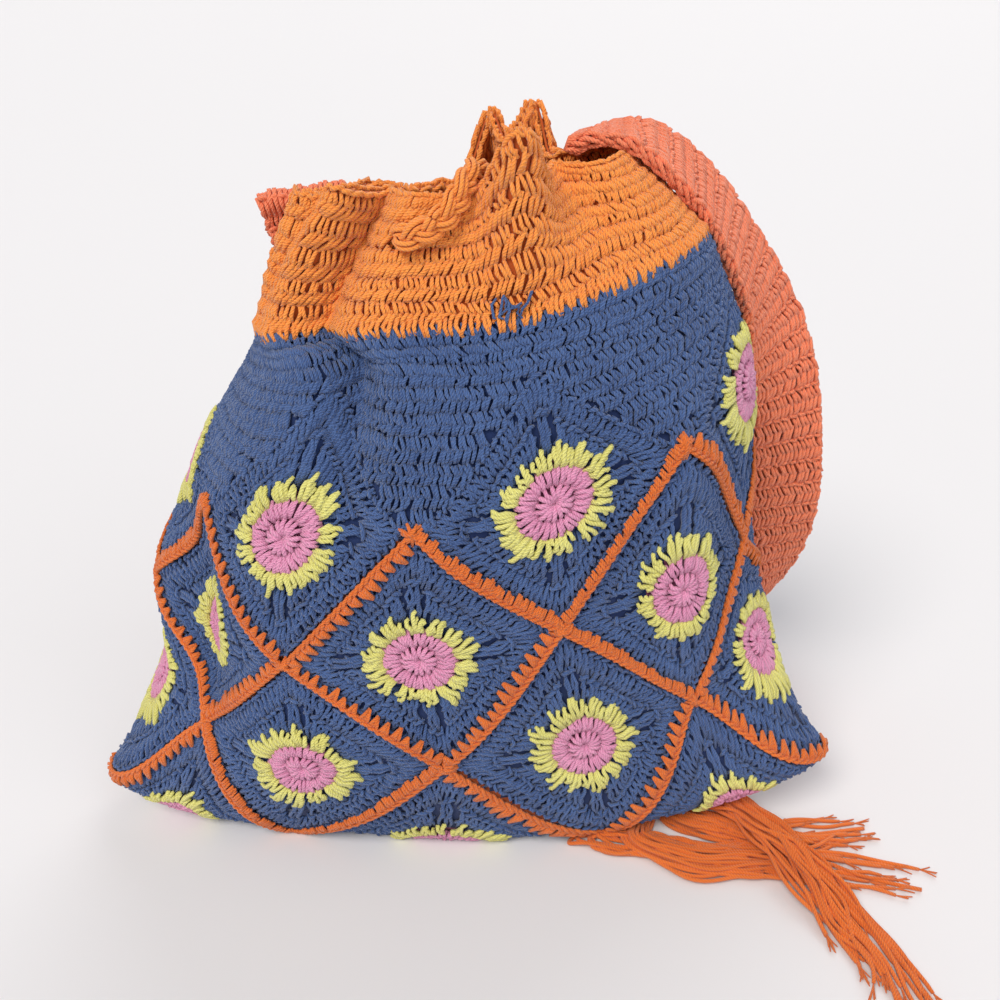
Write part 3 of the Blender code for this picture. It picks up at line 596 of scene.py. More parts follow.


# The second colour of each yarn is its darker dye and also the painted shade between its plies
BLUE = cotton_yarn("blue cotton yarn", "#4f6ca2", "#1e3363")
ORANGE = cotton_yarn("orange cotton yarn", "#ffa24b", "#ea792e")
RUST = cotton_yarn("rust orange cotton yarn", "#ee7c33", "#bf511a")
CORAL = cotton_yarn("coral cotton yarn", "#fe9169", "#e56c44")
PINK = cotton_yarn("pink cotton yarn", "#eda3c6", "#c46f9c")
YELLOW = cotton_yarn("yellow cotton yarn", "#e9e68b", "#c6bd55")
# Darker copies of the yarns for the ground behind the stitches and petals: painted shade in the holes between
# them
BLUE_GROUND_PAINTED_SHADE = cotton_yarn("blue ground behind the stitches in painted shade", "#22386a", "#132246")
ORANGE_GROUND_PAINTED_SHADE = cotton_yarn("orange ground behind the stitches in painted shade", "#d2662a", "#a3481a")
RUST_GROUND_PAINTED_SHADE = cotton_yarn("rust ground behind the stitches in painted shade", "#cf6426", "#a04417")
CORAL_GROUND_PAINTED_SHADE = cotton_yarn("coral ground behind the stitches in painted shade", "#e37650", "#c45c3a")
PINK_GROUND_PAINTED_SHADE = cotton_yarn("pink ground behind the stitches in painted shade", "#b9668f", "#8f4a6c")
PETAL_GROUND_PAINTED_SHADE = cotton_yarn("blue ground behind the petals in painted shade", "#2b4680", "#172a55")


# Stitches

YARN_RADIUS = 0.00125
GROUND_HALF = 0.0006
MESS = 0.0007
LIFT_MESS = 0.3

# The strands of a stitch are lines of points: share of its height, sideways in its widths, lift in yarn
# radii
DOUBLE_CROCHET = (
    ((-0.06, -0.34, 0.2), (0.28, -0.10, 1.4), (0.66, 0.16, 1.5), (1.00, -0.24, 0.4)),
    ((-0.02, 0.20, 0.3), (0.28, 0.36, 1.2), (0.62, -0.22, 1.0), (1.02, 0.32, 0.5)),
    ((0.28, -0.46, 0.2), (0.44, 0.02, 2.1), (0.58, 0.46, 0.3)),
    ((0.84, -0.52, 0.5), (0.93, -0.12, 1.9), (0.97, 0.26, 1.9), (0.90, 0.56, 0.5)),
)

ROW_STITCH = (
    ((-0.02, -0.56, 0.8), (0.28, -0.27, 1.6), (0.58, 0.02, 1.2)),
    ((-0.02, -0.06, 0.8), (0.28, 0.23, 1.5), (0.58, 0.52, 1.2)),
    ((0.42, 0.06, 1.2), (0.72, -0.24, 1.8), (1.03, -0.52, 0.8)),
    ((0.42, 0.56, 1.2), (0.72, 0.26, 1.7), (1.03, -0.02, 0.8)),
)


def crochet(
    yarn, feet, heads, width, radius=YARN_RADIUS, pattern=DOUBLE_CROCHET, finish=0, face=1, mess=MESS
):
    """Lays a stitch from each foot to each head, both flat (distance round the bag, height)."""
    rise = heads - feet
    across = unit(np.stack([rise[:, 1], -rise[:, 0]], -1))
    for strand in pattern:
        share, aside, lift = np.array(strand).T
        places = (
            feet[:, None]
            + rise[:, None] * share[None, :, None]
            + across[:, None] * (aside * width)[None, :, None]
            + rng.normal(0, mess, (len(feet), len(share), 2))
        )
        raised = GROUND_HALF + lift[None, :] * radius + rng.normal(0, LIFT_MESS * mess, places.shape[:2])
        lay_flat(yarn, places, face * raised, radius, finish)


def lay_flat(yarn, places, lift, radius, finish=0):
    """Lays strands given as flat places (distance round the bag, height) on the bag's form."""
    yarn.lay(places[..., 0] / HALF_PITCH, places[..., 1], lift, radius, finish)


def flat_centre(centre):
    """A square's centre on the flat cloth, from its column and row."""
    return np.array([centre[0] * HALF_PITCH, centre[1] * HALF_PITCH])


# Granny squares

STITCH_WIDTH = 0.0053
FLOWER_RADIUS = 0.032
SQUARE_ROWS = 4

# Edges of the two blue rounds, from the square's centre, and the holes beside each corner of the inner one
ROUND_EDGES = (0.0265, 0.0390, 0.0535)
CORNER_HOLE = 0.74
CORNER_HOLE_HALF = 0.07


def turned(points, angle):
    """Flat points turned about the origin."""
    c, s = math.cos(angle), math.sin(angle)
    return np.stack([points[:, 0] * c - points[:, 1] * s, points[:, 0] * s + points[:, 1] * c], -1)


def square_stitches():
    """Feet and heads of the stitches of the two blue rounds, about the square's centre."""
    feet = []
    heads = []
    inner, middle, outer = ROUND_EDGES
    for side in range(4):
        angle = math.pi / 4 + side * math.pi / 2
        for low, high in ((inner, middle), (middle, outer)):
            count = round(2 * high / STITCH_WIDTH)
            s = (np.arange(count) + 0.5) / count * 2 - 1
            head = np.stack([np.full(count, high), s * high], -1)
            if low == inner:
                fan = s * math.pi / 4
                foot = low * np.stack([np.cos(fan), np.sin(fan)], -1)
                kept = np.abs(np.abs(s) - CORNER_HOLE) > CORNER_HOLE_HALF
                foot = foot[kept]
                head = head[kept]
            else:
                foot = np.stack([np.full(count, low), s * low], -1)
            feet.append(turned(foot, angle))
            heads.append(turned(head, angle))
    return np.concatenate(feet), np.concatenate(heads)


SQUARE_FEET, SQUARE_HEADS = square_stitches()


def make_square(name, centre, nodes):
    """Two rounds of blue double crochet, worked outwards round a flower."""
    yarn = Yarn()
    middle = flat_centre(centre)
    crochet(yarn, SQUARE_FEET + middle, SQUARE_HEADS + middle, STITCH_WIDTH)
    return yarn.piece(name, [BLUE], "blue_cotton", nodes)


# Flowers

FLOWER_YARNS = [YELLOW, PINK]
EYE_YARN = FLOWER_YARNS.index(PINK)

Round = namedtuple("Round", "count low high width yarn mess")
EYE_INNER = Round(count=15, low=0.0010, high=0.0105, width=0.0026, yarn=0.0016, mess=0.0004)
EYE_OUTER = Round(count=26, low=0.0098, high=0.0212, width=0.0040, yarn=0.0014, mess=0.0006)

PETALS = 14
PETAL_STRANDS = 5
PETAL_ROOT = 0.0195
PETAL_ROOT_SPREAD = 0.24
PETAL_SPREAD = 0.36
PETAL_ROUNDING = 0.004
PETAL_LEAN = 0.03
PETAL_LONGER = 0.0005
PETAL_RAGGED = 0.0018
STRAND_LEAN = 0.05
STRAND_RAGGED = 0.0016
PETAL_WIDTH = 0.0020
PETAL_YARN = 0.00155
PETAL_MESS = 0.0005


def spokes(count, low, high, widening, start=0.0):
    """Feet and heads of evenly spaced radial stitches."""
    angle = 2 * math.pi * (np.arange(count) + start) / count
    ray = np.stack([np.cos(angle) * widening, np.sin(angle)], -1)
    return ray * low, ray * high


RADIAL_STRAND = (((0.00, -0.2, 0.8), (0.35, 0.1, 2.0), (0.70, -0.1, 2.1), (1.00, 0.2, 1.0)),)
EYE_STITCH = (
    ((0.00, -0.25, 1.0), (0.35, -0.15, 2.3), (0.70, -0.3, 2.2), (1.00, -0.1, 1.2)),
    ((0.00, 0.25, 0.9), (0.35, 0.3, 2.0), (0.70, 0.15, 2.4), (1.02, 0.3, 1.0)),
)
PETAL_STRAND = (
    ((0.00, 0.0, 1.4), (0.35, 0.20, 2.4), (0.70, -0.20, 2.4), (0.92, 0.10, 2.0), (0.98, 0.60, 1.6)),
)


def make_flower(name, centre, widening, node):
    """A pink eye of two rounds, and ragged yellow petals of a few strands each."""
    yarn = Yarn()
    middle = flat_centre(centre)
    spin = rng.uniform(0, 1)
    for eye, pattern in ((EYE_INNER, RADIAL_STRAND), (EYE_OUTER, EYE_STITCH)):
        feet, heads = spokes(eye.count, eye.low, eye.high, widening, spin)
        crochet(yarn, feet + middle, heads + middle, eye.width, eye.yarn, pattern, EYE_YARN, mess=eye.mess)
    feet = []
    heads = []
    for petal in range(PETALS):
        base = 2 * math.pi * (petal + spin) / PETALS + rng.normal(0, PETAL_LEAN)
        reach = FLOWER_RADIUS + rng.normal(PETAL_LONGER, PETAL_RAGGED)
        for i in range(PETAL_STRANDS):
            share = i / (PETAL_STRANDS - 1) - 0.5
            inner = base + share * PETAL_ROOT_SPREAD
            outer = base + share * PETAL_SPREAD + rng.normal(0, STRAND_LEAN)
            tip = reach - PETAL_ROUNDING * abs(share) * 2 + rng.normal(0, STRAND_RAGGED)
            feet.append((math.cos(inner) * PETAL_ROOT * widening, math.sin(inner) * PETAL_ROOT))
            heads.append((math.cos(outer) * tip * widening, math.sin(outer) * tip))
    feet = np.array(feet) + middle
    heads = np.array(heads) + middle
    crochet(yarn, feet, heads, PETAL_WIDTH, PETAL_YARN, PETAL_STRAND, mess=PETAL_MESS)
    return yarn.piece(name, FLOWER_YARNS, "yellow_cotton", [node])


# Blue rows between the yoke's squares and the band

YOKE_ROWS = 9
YOKE_STITCH_WIDTH = 0.0054
YOKE_YARN = 0.0013
YOKE_DRIFT = 0.0004

# Waves of the line between two rows: share, length and turn from row to row
ROW_SWAY = 0.0011
ROW_WAVES = ((1.0, 0.055, 2.4), (0.6, 0.023, 1.7))


def row_line(x, number):
    """How far the line between two rows wanders up or down, round the bag."""
    return ROW_SWAY * sum(share * np.sin(x / length + turn * number) for share, length, turn in ROW_WAVES)


def make_yoke_rows():
    """Blue rows above the upper squares, left out where a square reaches up into them."""
    yarn = Yarn()
    base = 3 * HALF_PITCH
    rise = (YOKE_TOP - base) / YOKE_ROWS
    count = round(COLUMNS * HALF_PITCH / YOKE_STITCH_WIDTH)
    pitch = 2 * HALF_PITCH
    for row in range(YOKE_ROWS):
        low = base + row * rise
        x = (np.arange(count) + rng.uniform(0, 1)) / count * COLUMNS * HALF_PITCH
        x = x + rng.normal(0, YOKE_DRIFT, count)
        away = np.abs(np.mod(x + HALF_PITCH, pitch) - HALF_PITCH)
        clear = away + (low + rise / 2 - base) > ROUND_EDGES[2] * math.sqrt(2)
        x = x[clear]
        feet = np.stack([x, low + row_line(x, row)], -1)
        heads = np.stack([x, low + rise + row_line(x, row + 1)], -1)
        crochet(yarn, feet, heads, YOKE_STITCH_WIDTH, YOKE_YARN, ROW_STITCH)
    return yarn.piece("yoke_rows", [BLUE], "blue_cotton", ["blue_yoke"])


# Joins between the squares

JOIN_YARN = 0.00125
RAGGED = (0.75, 1.15)

RIDGE_STEPS = 44
RIDGE_PITCH = 0.0095
RIDGE_SPREAD = 0.0013
RIDGE_FLATNESS = 0.7
RIDGE_LIFT = 0.0046
RIDGE_SWAY = 0.0006
RIDGE_SWAY_LENGTH = 0.031

# Stitches from the ridge into a square: teeth that gather to points, or rungs
Edging = namedtuple("Edging", "spacing reach strands gather")
TEETH = Edging(spacing=0.0070, reach=0.0100, strands=(-0.0028, -0.0009, 0.0010, 0.0028), gather=0.12)
RUNGS = Edging(spacing=0.0034, reach=0.0075, strands=(-0.0008, 0.0008), gather=1.0)
TEETH_SHARE = 0.6
EDGING_STEPS = (0.0, 0.45, 1.0)
EDGING_LIFTS = (0.0040, 0.0054, 0.0044)
EDGING_ROOT = -0.0008
EDGING_SLANT = 0.0016
EDGING_DRIFT = 0.0005
EDGING_MESS = 0.0003
EDGING_LIFT_MESS = 0.0002

KNOT_STRANDS = 7
KNOT_REACH = 0.0062
KNOT_LIFTS = (0.0032, 0.0052, 0.0052, 0.0032)
KNOT_MESS = 0.0008
KNOT_LIFT_MESS = 0.0003


def make_joins():
    """The rust yarn that joins the squares in zigzags, with a knot at each corner."""
    yarn = Yarn()
    length = HALF_PITCH * math.sqrt(2)
    for row in range(SQUARE_ROWS - 1):
        for column in range(COLUMNS):
            if (column + row) % 2:
                continue
            for side in (-1, 1):
                foot = flat_centre((column, row))
                along = np.array([side, 1]) / math.sqrt(2)
                across = np.array([1, -side]) / math.sqrt(2) * rng.choice((-1, 1))
                add_ridge(yarn, foot, along, across, length)
                edging = TEETH if rng.uniform() < TEETH_SHARE else RUNGS
                add_edging(yarn, foot, along, across, length, edging)
    for row in range(SQUARE_ROWS):
        for column in range(COLUMNS):
            if (column + row) % 2 == 0 and not (row == 0 and column > COLUMNS // 2):
                add_knot(yarn, flat_centre((column, row)))
    return yarn.piece("zigzag_yarn_joins", [RUST], "rust_cotton", ["zigzag_joins"])


def add_ridge(yarn, foot, along, across, length):
    """Two strands twisted round each other along the join."""
    run = np.linspace(0, length, RIDGE_STEPS)
    start = rng.uniform(0, 2 * math.pi)
    wander = RIDGE_SWAY * np.sin(run / RIDGE_SWAY_LENGTH + start)
    for half in (0, math.pi):
        phase = 2 * math.pi * run / RIDGE_PITCH + start + half
        aside = RIDGE_SPREAD * np.cos(phase) + wander
        lift = RIDGE_LIFT + RIDGE_SPREAD * RIDGE_FLATNESS * np.sin(phase)
        places = foot + run[:, None] * along + aside[:, None] * across
        lay_flat(yarn, places[None], lift[None], JOIN_YARN)


def add_edging(yarn, foot, along, across, length, edging):
    """Teeth or rungs from the ridge into the square on one side of it."""
    count = int(length / edging.spacing) - 1
    run = (np.arange(count) + 1) * edging.spacing + rng.normal(0, EDGING_DRIFT, count)
    reach = edging.reach * rng.uniform(*RAGGED, count)
    steps = np.array(EDGING_STEPS)
    for start in edging.strands:
        onward = run[:, None] + start * (1 - steps * (1 - edging.gather)) + EDGING_SLANT * steps
        away = EDGING_ROOT + reach[:, None] * steps
        away = away + rng.normal(0, EDGING_MESS, away.shape)
        lift = np.array(EDGING_LIFTS)[None] + rng.normal(0, EDGING_LIFT_MESS, away.shape)
        places = foot + onward[..., None] * along + away[..., None] * across
        lay_flat(yarn, places, lift, JOIN_YARN)


def add_knot(yarn, centre):
    """A few strands that cross where four squares meet."""
    angle = rng.uniform(0, math.pi, KNOT_STRANDS)
    ray = np.stack([np.cos(angle), np.sin(angle)], -1)
    points = len(KNOT_LIFTS)
    steps = np.linspace(-1, 1, points)
    places = centre + ray[:, None] * (steps * KNOT_REACH)[None, :, None]
    places = places + rng.normal(0, KNOT_MESS, (KNOT_STRANDS, points, 2))
    lift = np.array(KNOT_LIFTS)[None] + rng.normal(0, KNOT_LIFT_MESS, (KNOT_STRANDS, points))
    lay_flat(yarn, places, lift, JOIN_YARN)


# The gathered band

BAND_STITCH_WIDTH = 0.0074
BAND_YARN = 0.0014
BAND_FRINGE = 0.0066
FRINGE_HEAD = 0.006
FRINGE_LEAN = 0.0006
RIM_RISE = 0.002
EYELET = (2.60, 2.80)
EYELET_ROW = 3

SPIKE = (
    ((1.00, -0.20, 1.0), (0.50, -0.22, 2.4), (0.00, -0.08, 1.3)),
    ((1.00, 0.20, 1.0), (0.50, 0.24, 2.4), (0.04, 0.10, 1.3)),
)
RIM_LINK = (
    ((-0.35, -0.60, 0.9), (0.10, -0.20, 1.6), (0.10, 0.30, 1.6), (-0.35, 0.75, 0.9)),
)


def make_band():
    """Orange rows on both faces of the cloth, with spikes down into the blue and a chain along the rim."""
    yarn = Yarn()
    count = round(COLUMNS * HALF_PITCH / BAND_STITCH_WIDTH)
    x = (np.arange(count) + 0.5) / count * COLUMNS * HALF_PITCH
    for row in range(BAND_ROWS):
        low = YOKE_TOP + row * BAND_ROW_HEIGHT
        kept = np.ones(count, bool)
        if row == EYELET_ROW:
            column = x / HALF_PITCH
            kept = (column < EYELET[0]) | (column > EYELET[1])
        shifted = x[kept] + rng.uniform(0, BAND_STITCH_WIDTH)
        feet = np.stack([shifted, low + row_line(shifted, row + YOKE_ROWS)], -1)
        heads = np.stack([shifted, low + BAND_ROW_HEIGHT + row_line(shifted, row + YOKE_ROWS + 1)], -1)
        for face in (1, -1):
            crochet(yarn, feet, heads, BAND_STITCH_WIDTH, BAND_YARN, ROW_STITCH, face=face)
    reach = BAND_FRINGE * rng.uniform(*RAGGED, count)
    lean = rng.normal(0, FRINGE_LEAN, count)
    feet = np.stack([x + lean, YOKE_TOP - reach], -1)
    heads = np.stack([x, np.full(count, YOKE_TOP + FRINGE_HEAD)], -1)
    crochet(yarn, feet, heads, BAND_STITCH_WIDTH, BAND_YARN, SPIKE)
    feet = np.stack([x, np.full(count, RIM)], -1)
    for face in (1, -1):
        crochet(yarn, feet, feet + [0, RIM_RISE], BAND_STITCH_WIDTH, BAND_YARN, RIM_LINK, face=face)
    return yarn.piece("gathered_band", [ORANGE], "orange_cotton", ["top_band"])


# Blue yarns that are pulled out over the band's foot

SNAG_PLACE = (3.87 * HALF_PITCH, YOKE_TOP + 0.007)
SNAG_SPREAD = (0.005, 0.0015)
SNAG_YARNS = 7
SNAG_YARN = 0.0009
SNAG_LENGTH = 0.014
SNAG_LIFT = 0.0048
SNAG_LIFT_MESS = 0.0005
SNAG_LEAN = 0.5
SNAG_MESS = 0.0013


def make_snag():
    """A small tangle of loose blue strands."""
    yarn = Yarn()
    steps = np.linspace(-0.5, 0.5, 5)
    lean = rng.normal(0, SNAG_LEAN, SNAG_YARNS)
    ray = np.stack([np.sin(lean), np.cos(lean)], -1)
    start = np.array(SNAG_PLACE) + rng.normal(0, 1, (SNAG_YARNS, 2)) * SNAG_SPREAD
    places = start[:, None] + ray[:, None] * (steps * SNAG_LENGTH)[None, :, None]
    places = places + rng.normal(0, SNAG_MESS, places.shape)
    lift = SNAG_LIFT + rng.normal(0, SNAG_LIFT_MESS, places.shape[:2])
    lay_flat(yarn, places, lift, SNAG_YARN)
    yarn.piece("pulled_blue_yarns", [BLUE], "blue_cotton")


# The ground behind the stitches, in darker copies of the yarns' colours: painted shade in the holes

GROUND_ROUND = 168
GROUND_UP = 76
PETALS_WITHIN = 0.028
EYE_WITHIN = 0.021
SEAM_WITHIN = 0.0022

GROUND_PAINTED_SHADES = [BLUE_GROUND_PAINTED_SHADE, ORANGE_GROUND_PAINTED_SHADE, RUST_GROUND_PAINTED_SHADE, PINK_GROUND_PAINTED_SHADE, PETAL_GROUND_PAINTED_SHADE]
BLUE_PART, ORANGE_PART, RUST_PART, PINK_PART, PETAL_PART = range(len(GROUND_PAINTED_SHADES))

# Edges of a hole's cell: step to the cell beyond, the edge's two grid points, and the way that it faces
HOLE_EDGES = (
    ((-1, 0), (0, 0), (0, 1), -1),
    ((1, 0), (1, 0), (1, 1), 1),
    ((0, -1), (0, 0), (1, 0), 1),
    ((0, 1), (0, 1), (1, 1), -1),
)


def ground_finish(x, y):
    """Which painted-shade ground colour lies behind a place of the flat cloth."""
    finish = np.full(x.shape, BLUE_PART)
    pitch = 2 * HALF_PITCH
    for row in range(SQUARE_ROWS):
        shift = 0.0 if row % 2 else HALF_PITCH
        away = np.mod(x - shift + HALF_PITCH, pitch) - HALF_PITCH
        radius = np.hypot(away, y - row * HALF_PITCH)
        finish = np.where(radius < PETALS_WITHIN, PETAL_PART, finish)
        finish = np.where(radius < EYE_WITHIN, PINK_PART, finish)
    up = np.abs(np.mod(x + y + HALF_PITCH, pitch) - HALF_PITCH)
    down = np.abs(np.mod(x - y + HALF_PITCH, pitch) - HALF_PITCH)
    seam = np.minimum(up, down) / math.sqrt(2) < SEAM_WITHIN
    finish = np.where(seam & (y < 3 * HALF_PITCH), RUST_PART, finish)
    return np.where(y > YOKE_TOP, ORANGE_PART, finish)


def make_ground():
    """The web of yarn behind the raised stitches, in painted shade: one thin closed skin over the bag, open
    at the rim.
    """
    columns = np.arange(GROUND_ROUND) * COLUMNS / GROUND_ROUND
    heights = np.linspace(0, RIM, GROUND_UP)
    u, h = np.meshgrid(columns, heights, indexing="ij")
    out = cloth_normal(u, h)
    middle = form(u, h)
    layers = [middle + out * GROUND_HALF, middle - out * GROUND_HALF]
    number = np.arange(2 * u.size).reshape(2, *u.shape)
    # The two sides share their points along the fold
    fold = (-np.arange(GROUND_ROUND)) % GROUND_ROUND
    number[:, :, 0] = np.minimum(number[:, :, 0], number[:, fold, 0])
    around = np.roll(number, -1, axis=1)
    cell_u = (columns + COLUMNS / GROUND_ROUND / 2)[:, None]
    cell_h = ((heights[:-1] + heights[1:]) / 2)[None, :]
    cell_u, cell_h = np.broadcast_arrays(cell_u, cell_h)
    eyelet_low = YOKE_TOP + EYELET_ROW * BAND_ROW_HEIGHT
    solid = ~(
        (cell_u > EYELET[0]) & (cell_u < EYELET[1])
        & (cell_h > eyelet_low) & (cell_h < eyelet_low + BAND_ROW_HEIGHT)
    )
    # Each cell takes a darker yarn colour, painted shade seen through the holes between the stitches
    finish = ground_finish(cell_u * HALF_PITCH, cell_h)
    corners = []
    finishes = []
    for layer, order in ((0, 1), (1, -1)):
        a, b = number[layer], around[layer]
        quads = np.stack([a[:, :-1], b[:, :-1], b[:, 1:], a[:, 1:]], -1)[..., ::order]
        corners.append(quads[solid].reshape(-1))
        finishes.append(finish[solid])
    for low, high, direction in hole_sides(solid):
        side = np.stack([number[0][low], number[0][high], number[1][high], number[1][low]], -1)
        corners.append(side[:, ::direction].reshape(-1))
        finishes.append(np.full(len(side), ORANGE_PART))
    rim = np.stack([number[0][:, -1], around[0][:, -1], around[1][:, -1], number[1][:, -1]], -1)
    corners.append(rim[:, ::-1].reshape(-1))
    finishes.append(np.full(len(rim), ORANGE_PART))
    sizes = [np.full(len(np.concatenate(corners)) // 4, 4)]
    places = [layer.reshape(-1, 3) for layer in layers]
    mesh = new_mesh("crochet_ground_painted_shade", places, corners, sizes, finishes)
    return dressed("crochet_ground_painted_shade", mesh, GROUND_PAINTED_SHADES, ())


def hole_sides(solid):
    """Edges of the ground round its eyelet, each as two lines of grid indices and the way that they face."""
    i, j = np.nonzero(~solid)
    sides = []
    for step, start, end, direction in HOLE_EDGES:
        edge = solid[(i + step[0]) % solid.shape[0], np.clip(j + step[1], 0, solid.shape[1] - 1)]
        low = ((i[edge] + start[0]) % solid.shape[0], j[edge] + start[1])
        high = ((i[edge] + end[0]) % solid.shape[0], j[edge] + end[1])
        sides.append((low, high, direction))
    return sides


# The strap

STRAP_WIDTH = 0.048
STRAP_ROW = 0.0175
STRAP_STITCHES = 9
STRAP_YARN = 0.0015
STRAP_LINE = 600
STRAP_LOWEST = 0.0030
STRAP_MESS = (0.0006, 0.0005)
STRAP_BAR = (((0.90, -0.54, 0.5), (0.96, -0.16, 1.5), (0.98, 0.24, 1.5), (0.92, 0.58, 0.5)),)

EDGE_STEPS = 700
EDGE_TWIST = 0.012
EDGE_INSET = 0.0010
EDGE_SWAY = 0.0014

# Oversewing of the strap's ends: distance from the end and height over the strap's middle, round the end
END_STITCHES = 17
END_PLACES = ((0.010, 0.0036), (0.003, 0.0042), (0.003, -0.0042), (0.010, -0.0036))
END_DRIFT = 0.0008
END_OVERHANG = 0.0045

STRAP_GROUND_STEPS = 240
STRAP_GROUND_INSET = 0.0012


def strap_line():
    """The strap's middle, the direction across it and its face, at even steps of its length."""
    middles = smooth_curve([station[0] for station in STRAP_ROUTE], STRAP_LINE)
    across = smooth_curve([station[1] for station in STRAP_ROUTE], STRAP_LINE)
    along = unit(np.gradient(middles, axis=0))
    across = unit(across - along * (across * along).sum(1, keepdims=True))
    facing = np.cross(along, across)
    middles[:, 2] = np.maximum(middles[:, 2], STRAP_LOWEST)
    return run_along(middles), middles, across, facing


STRAP_RUN, STRAP_MIDDLES, STRAP_ACROSS, STRAP_FACING = strap_line()


def on_strap(run, aside, lift):
    """Places on the strap by length, sideways and above its middle, and the direction out of it there."""
    def at(values):
        return np.stack([np.interp(run, STRAP_RUN, values[:, i]) for i in range(3)], -1)

    facing = unit(at(STRAP_FACING))
    places = at(STRAP_MIDDLES) + unit(at(STRAP_ACROSS)) * aside[..., None] + facing * lift[..., None]
    return places, facing * (1 if lift.mean() >= 0 else -1)


def make_strap():
    """Dense rows of stitches on both faces, each row with a bar across its heads."""
    yarn = Yarn()
    rows = int(STRAP_RUN[-1] / STRAP_ROW)
    row_length = STRAP_RUN[-1] / rows
    pitch = STRAP_WIDTH / STRAP_STITCHES
    feet_run, number = np.meshgrid(np.arange(rows) * row_length, np.arange(STRAP_STITCHES), indexing="ij")
    feet_run = feet_run.reshape(-1)
    aside = (number.reshape(-1) + 0.5) * pitch - STRAP_WIDTH / 2
    for face in (1, -1):
        for strand in ROW_STITCH + STRAP_BAR:
            share, across, lift = np.array(strand).T
            shape = (len(aside), len(share))
            run = feet_run[:, None] + share[None] * row_length + rng.normal(0, STRAP_MESS[0], shape)
            off = aside[:, None] + across[None] * pitch + rng.normal(0, STRAP_MESS[1], shape)
            raised = face * (GROUND_HALF + lift[None] * STRAP_YARN + np.zeros(shape))
            places, out = on_strap(run, off, raised)
            yarn.add(places, out, STRAP_YARN)
    add_strap_edges(yarn)
    yarn.piece("strap_stitches", [CORAL], "coral_cotton", ["shoulder_strap"])


def add_strap_edges(yarn):
    """Two yarns twisted along each edge of the strap."""
    run = np.linspace(0, STRAP_RUN[-1], EDGE_STEPS)
    for side in (-1, 1):
        for half in (0, math.pi):
            phase = 2 * math.pi * run / EDGE_TWIST + half
            aside = side * (STRAP_WIDTH / 2 - EDGE_INSET) + EDGE_SWAY * np.cos(phase)
            places, out = on_strap(run, aside, EDGE_SWAY * np.sin(phase))
            yarn.add(places[None], unit(np.cross(np.gradient(places, axis=0), out))[None], STRAP_YARN)


def make_strap_ends():
    """Oversewn yarn that closes both ends of the strap."""
    yarn = Yarn()
    aside = (np.arange(END_STITCHES) + 0.5) / END_STITCHES * STRAP_WIDTH - STRAP_WIDTH / 2
    for end, inward in ((0.0, 1), (STRAP_RUN[-1], -1)):
        lines = []
        for depth, lift in END_PLACES:
            run = end + inward * (depth + rng.normal(0, END_DRIFT, END_STITCHES))
            places, _ = on_strap(run, aside, np.full(END_STITCHES, lift))
            lines.append(places)
        tip = (lines[1] + lines[2]) / 2
        tip = tip + unit(tip - (lines[0] + lines[3]) / 2) * END_OVERHANG
        points = np.stack([lines[0], lines[1], tip, lines[2], lines[3]], 1)
        towards = np.broadcast_to(STRAP_ACROSS[0 if inward > 0 else -1], points.shape)
        yarn.add(points, unit(np.cross(np.gradient(points, axis=1), towards)), STRAP_YARN)
    yarn.piece("oversewn_strap_ends", [CORAL], "coral_cotton")


def make_strap_ground():
    """The web behind the strap's stitches, as a flat band with closed edges, in painted shade."""
    steps = STRAP_GROUND_STEPS
    run = np.linspace(0, STRAP_RUN[-1], steps)
    half = (STRAP_WIDTH / 2 - STRAP_GROUND_INSET, GROUND_HALF)
    section = np.array([(-1, -1), (1, -1), (1, 1), (-1, 1)]) * half
    places = [on_strap(run, np.full(steps, aside), np.full(steps, lift))[0] for aside, lift in section]
    places = np.stack(places, 1)
    number = np.arange(steps * 4).reshape(steps, 4)
    following = np.roll(number, -1, axis=1)
    quads = np.stack([number[:-1], following[:-1], following[1:], number[1:]], -1)
    corners = [quads.reshape(-1), number[0, ::-1], number[-1]]
    faces = quads.size // 4 + 2
    mesh = new_mesh(
        "strap_ground_painted_shade", [places.reshape(-1, 3)], corners, [np.full(faces, 4)], [np.zeros(faces, int)]
    )
    # Darker coral: painted shade in the holes between the strap's stitches
    dressed("strap_ground_painted_shade", mesh, [CORAL_GROUND_PAINTED_SHADE], ())


# The plaited drawstring

PLAIT_POINTS = 320
PLAIT_REPEAT = 0.030
PLAIT_STRANDS = 3
PLAIT_WIDTH = 0.0036
PLAIT_DEPTH = 0.0019
PLAIT_YARN = 0.0012
PLAIT_BUNDLE = 0.0022
PLAIT_ENDS = 5
PLAIT_SLOW_TWIST = 6


def cord_frame():
    """The cord's route, with two directions square to it that turn as little as they can."""
    u, drop, away = np.array(CORD_ROUTE).T
    h = RIM - drop
    line = smooth_curve(plain_form(u, h) + level_outward(u, h) * away[:, None], PLAIT_POINTS, closed=True)
    line = np.concatenate([line, line[:1]])
    along = unit(np.gradient(line, axis=0))
    flat = unit(np.cross(along, np.broadcast_to(UP, along.shape)))
    return line, flat, np.cross(flat, along)


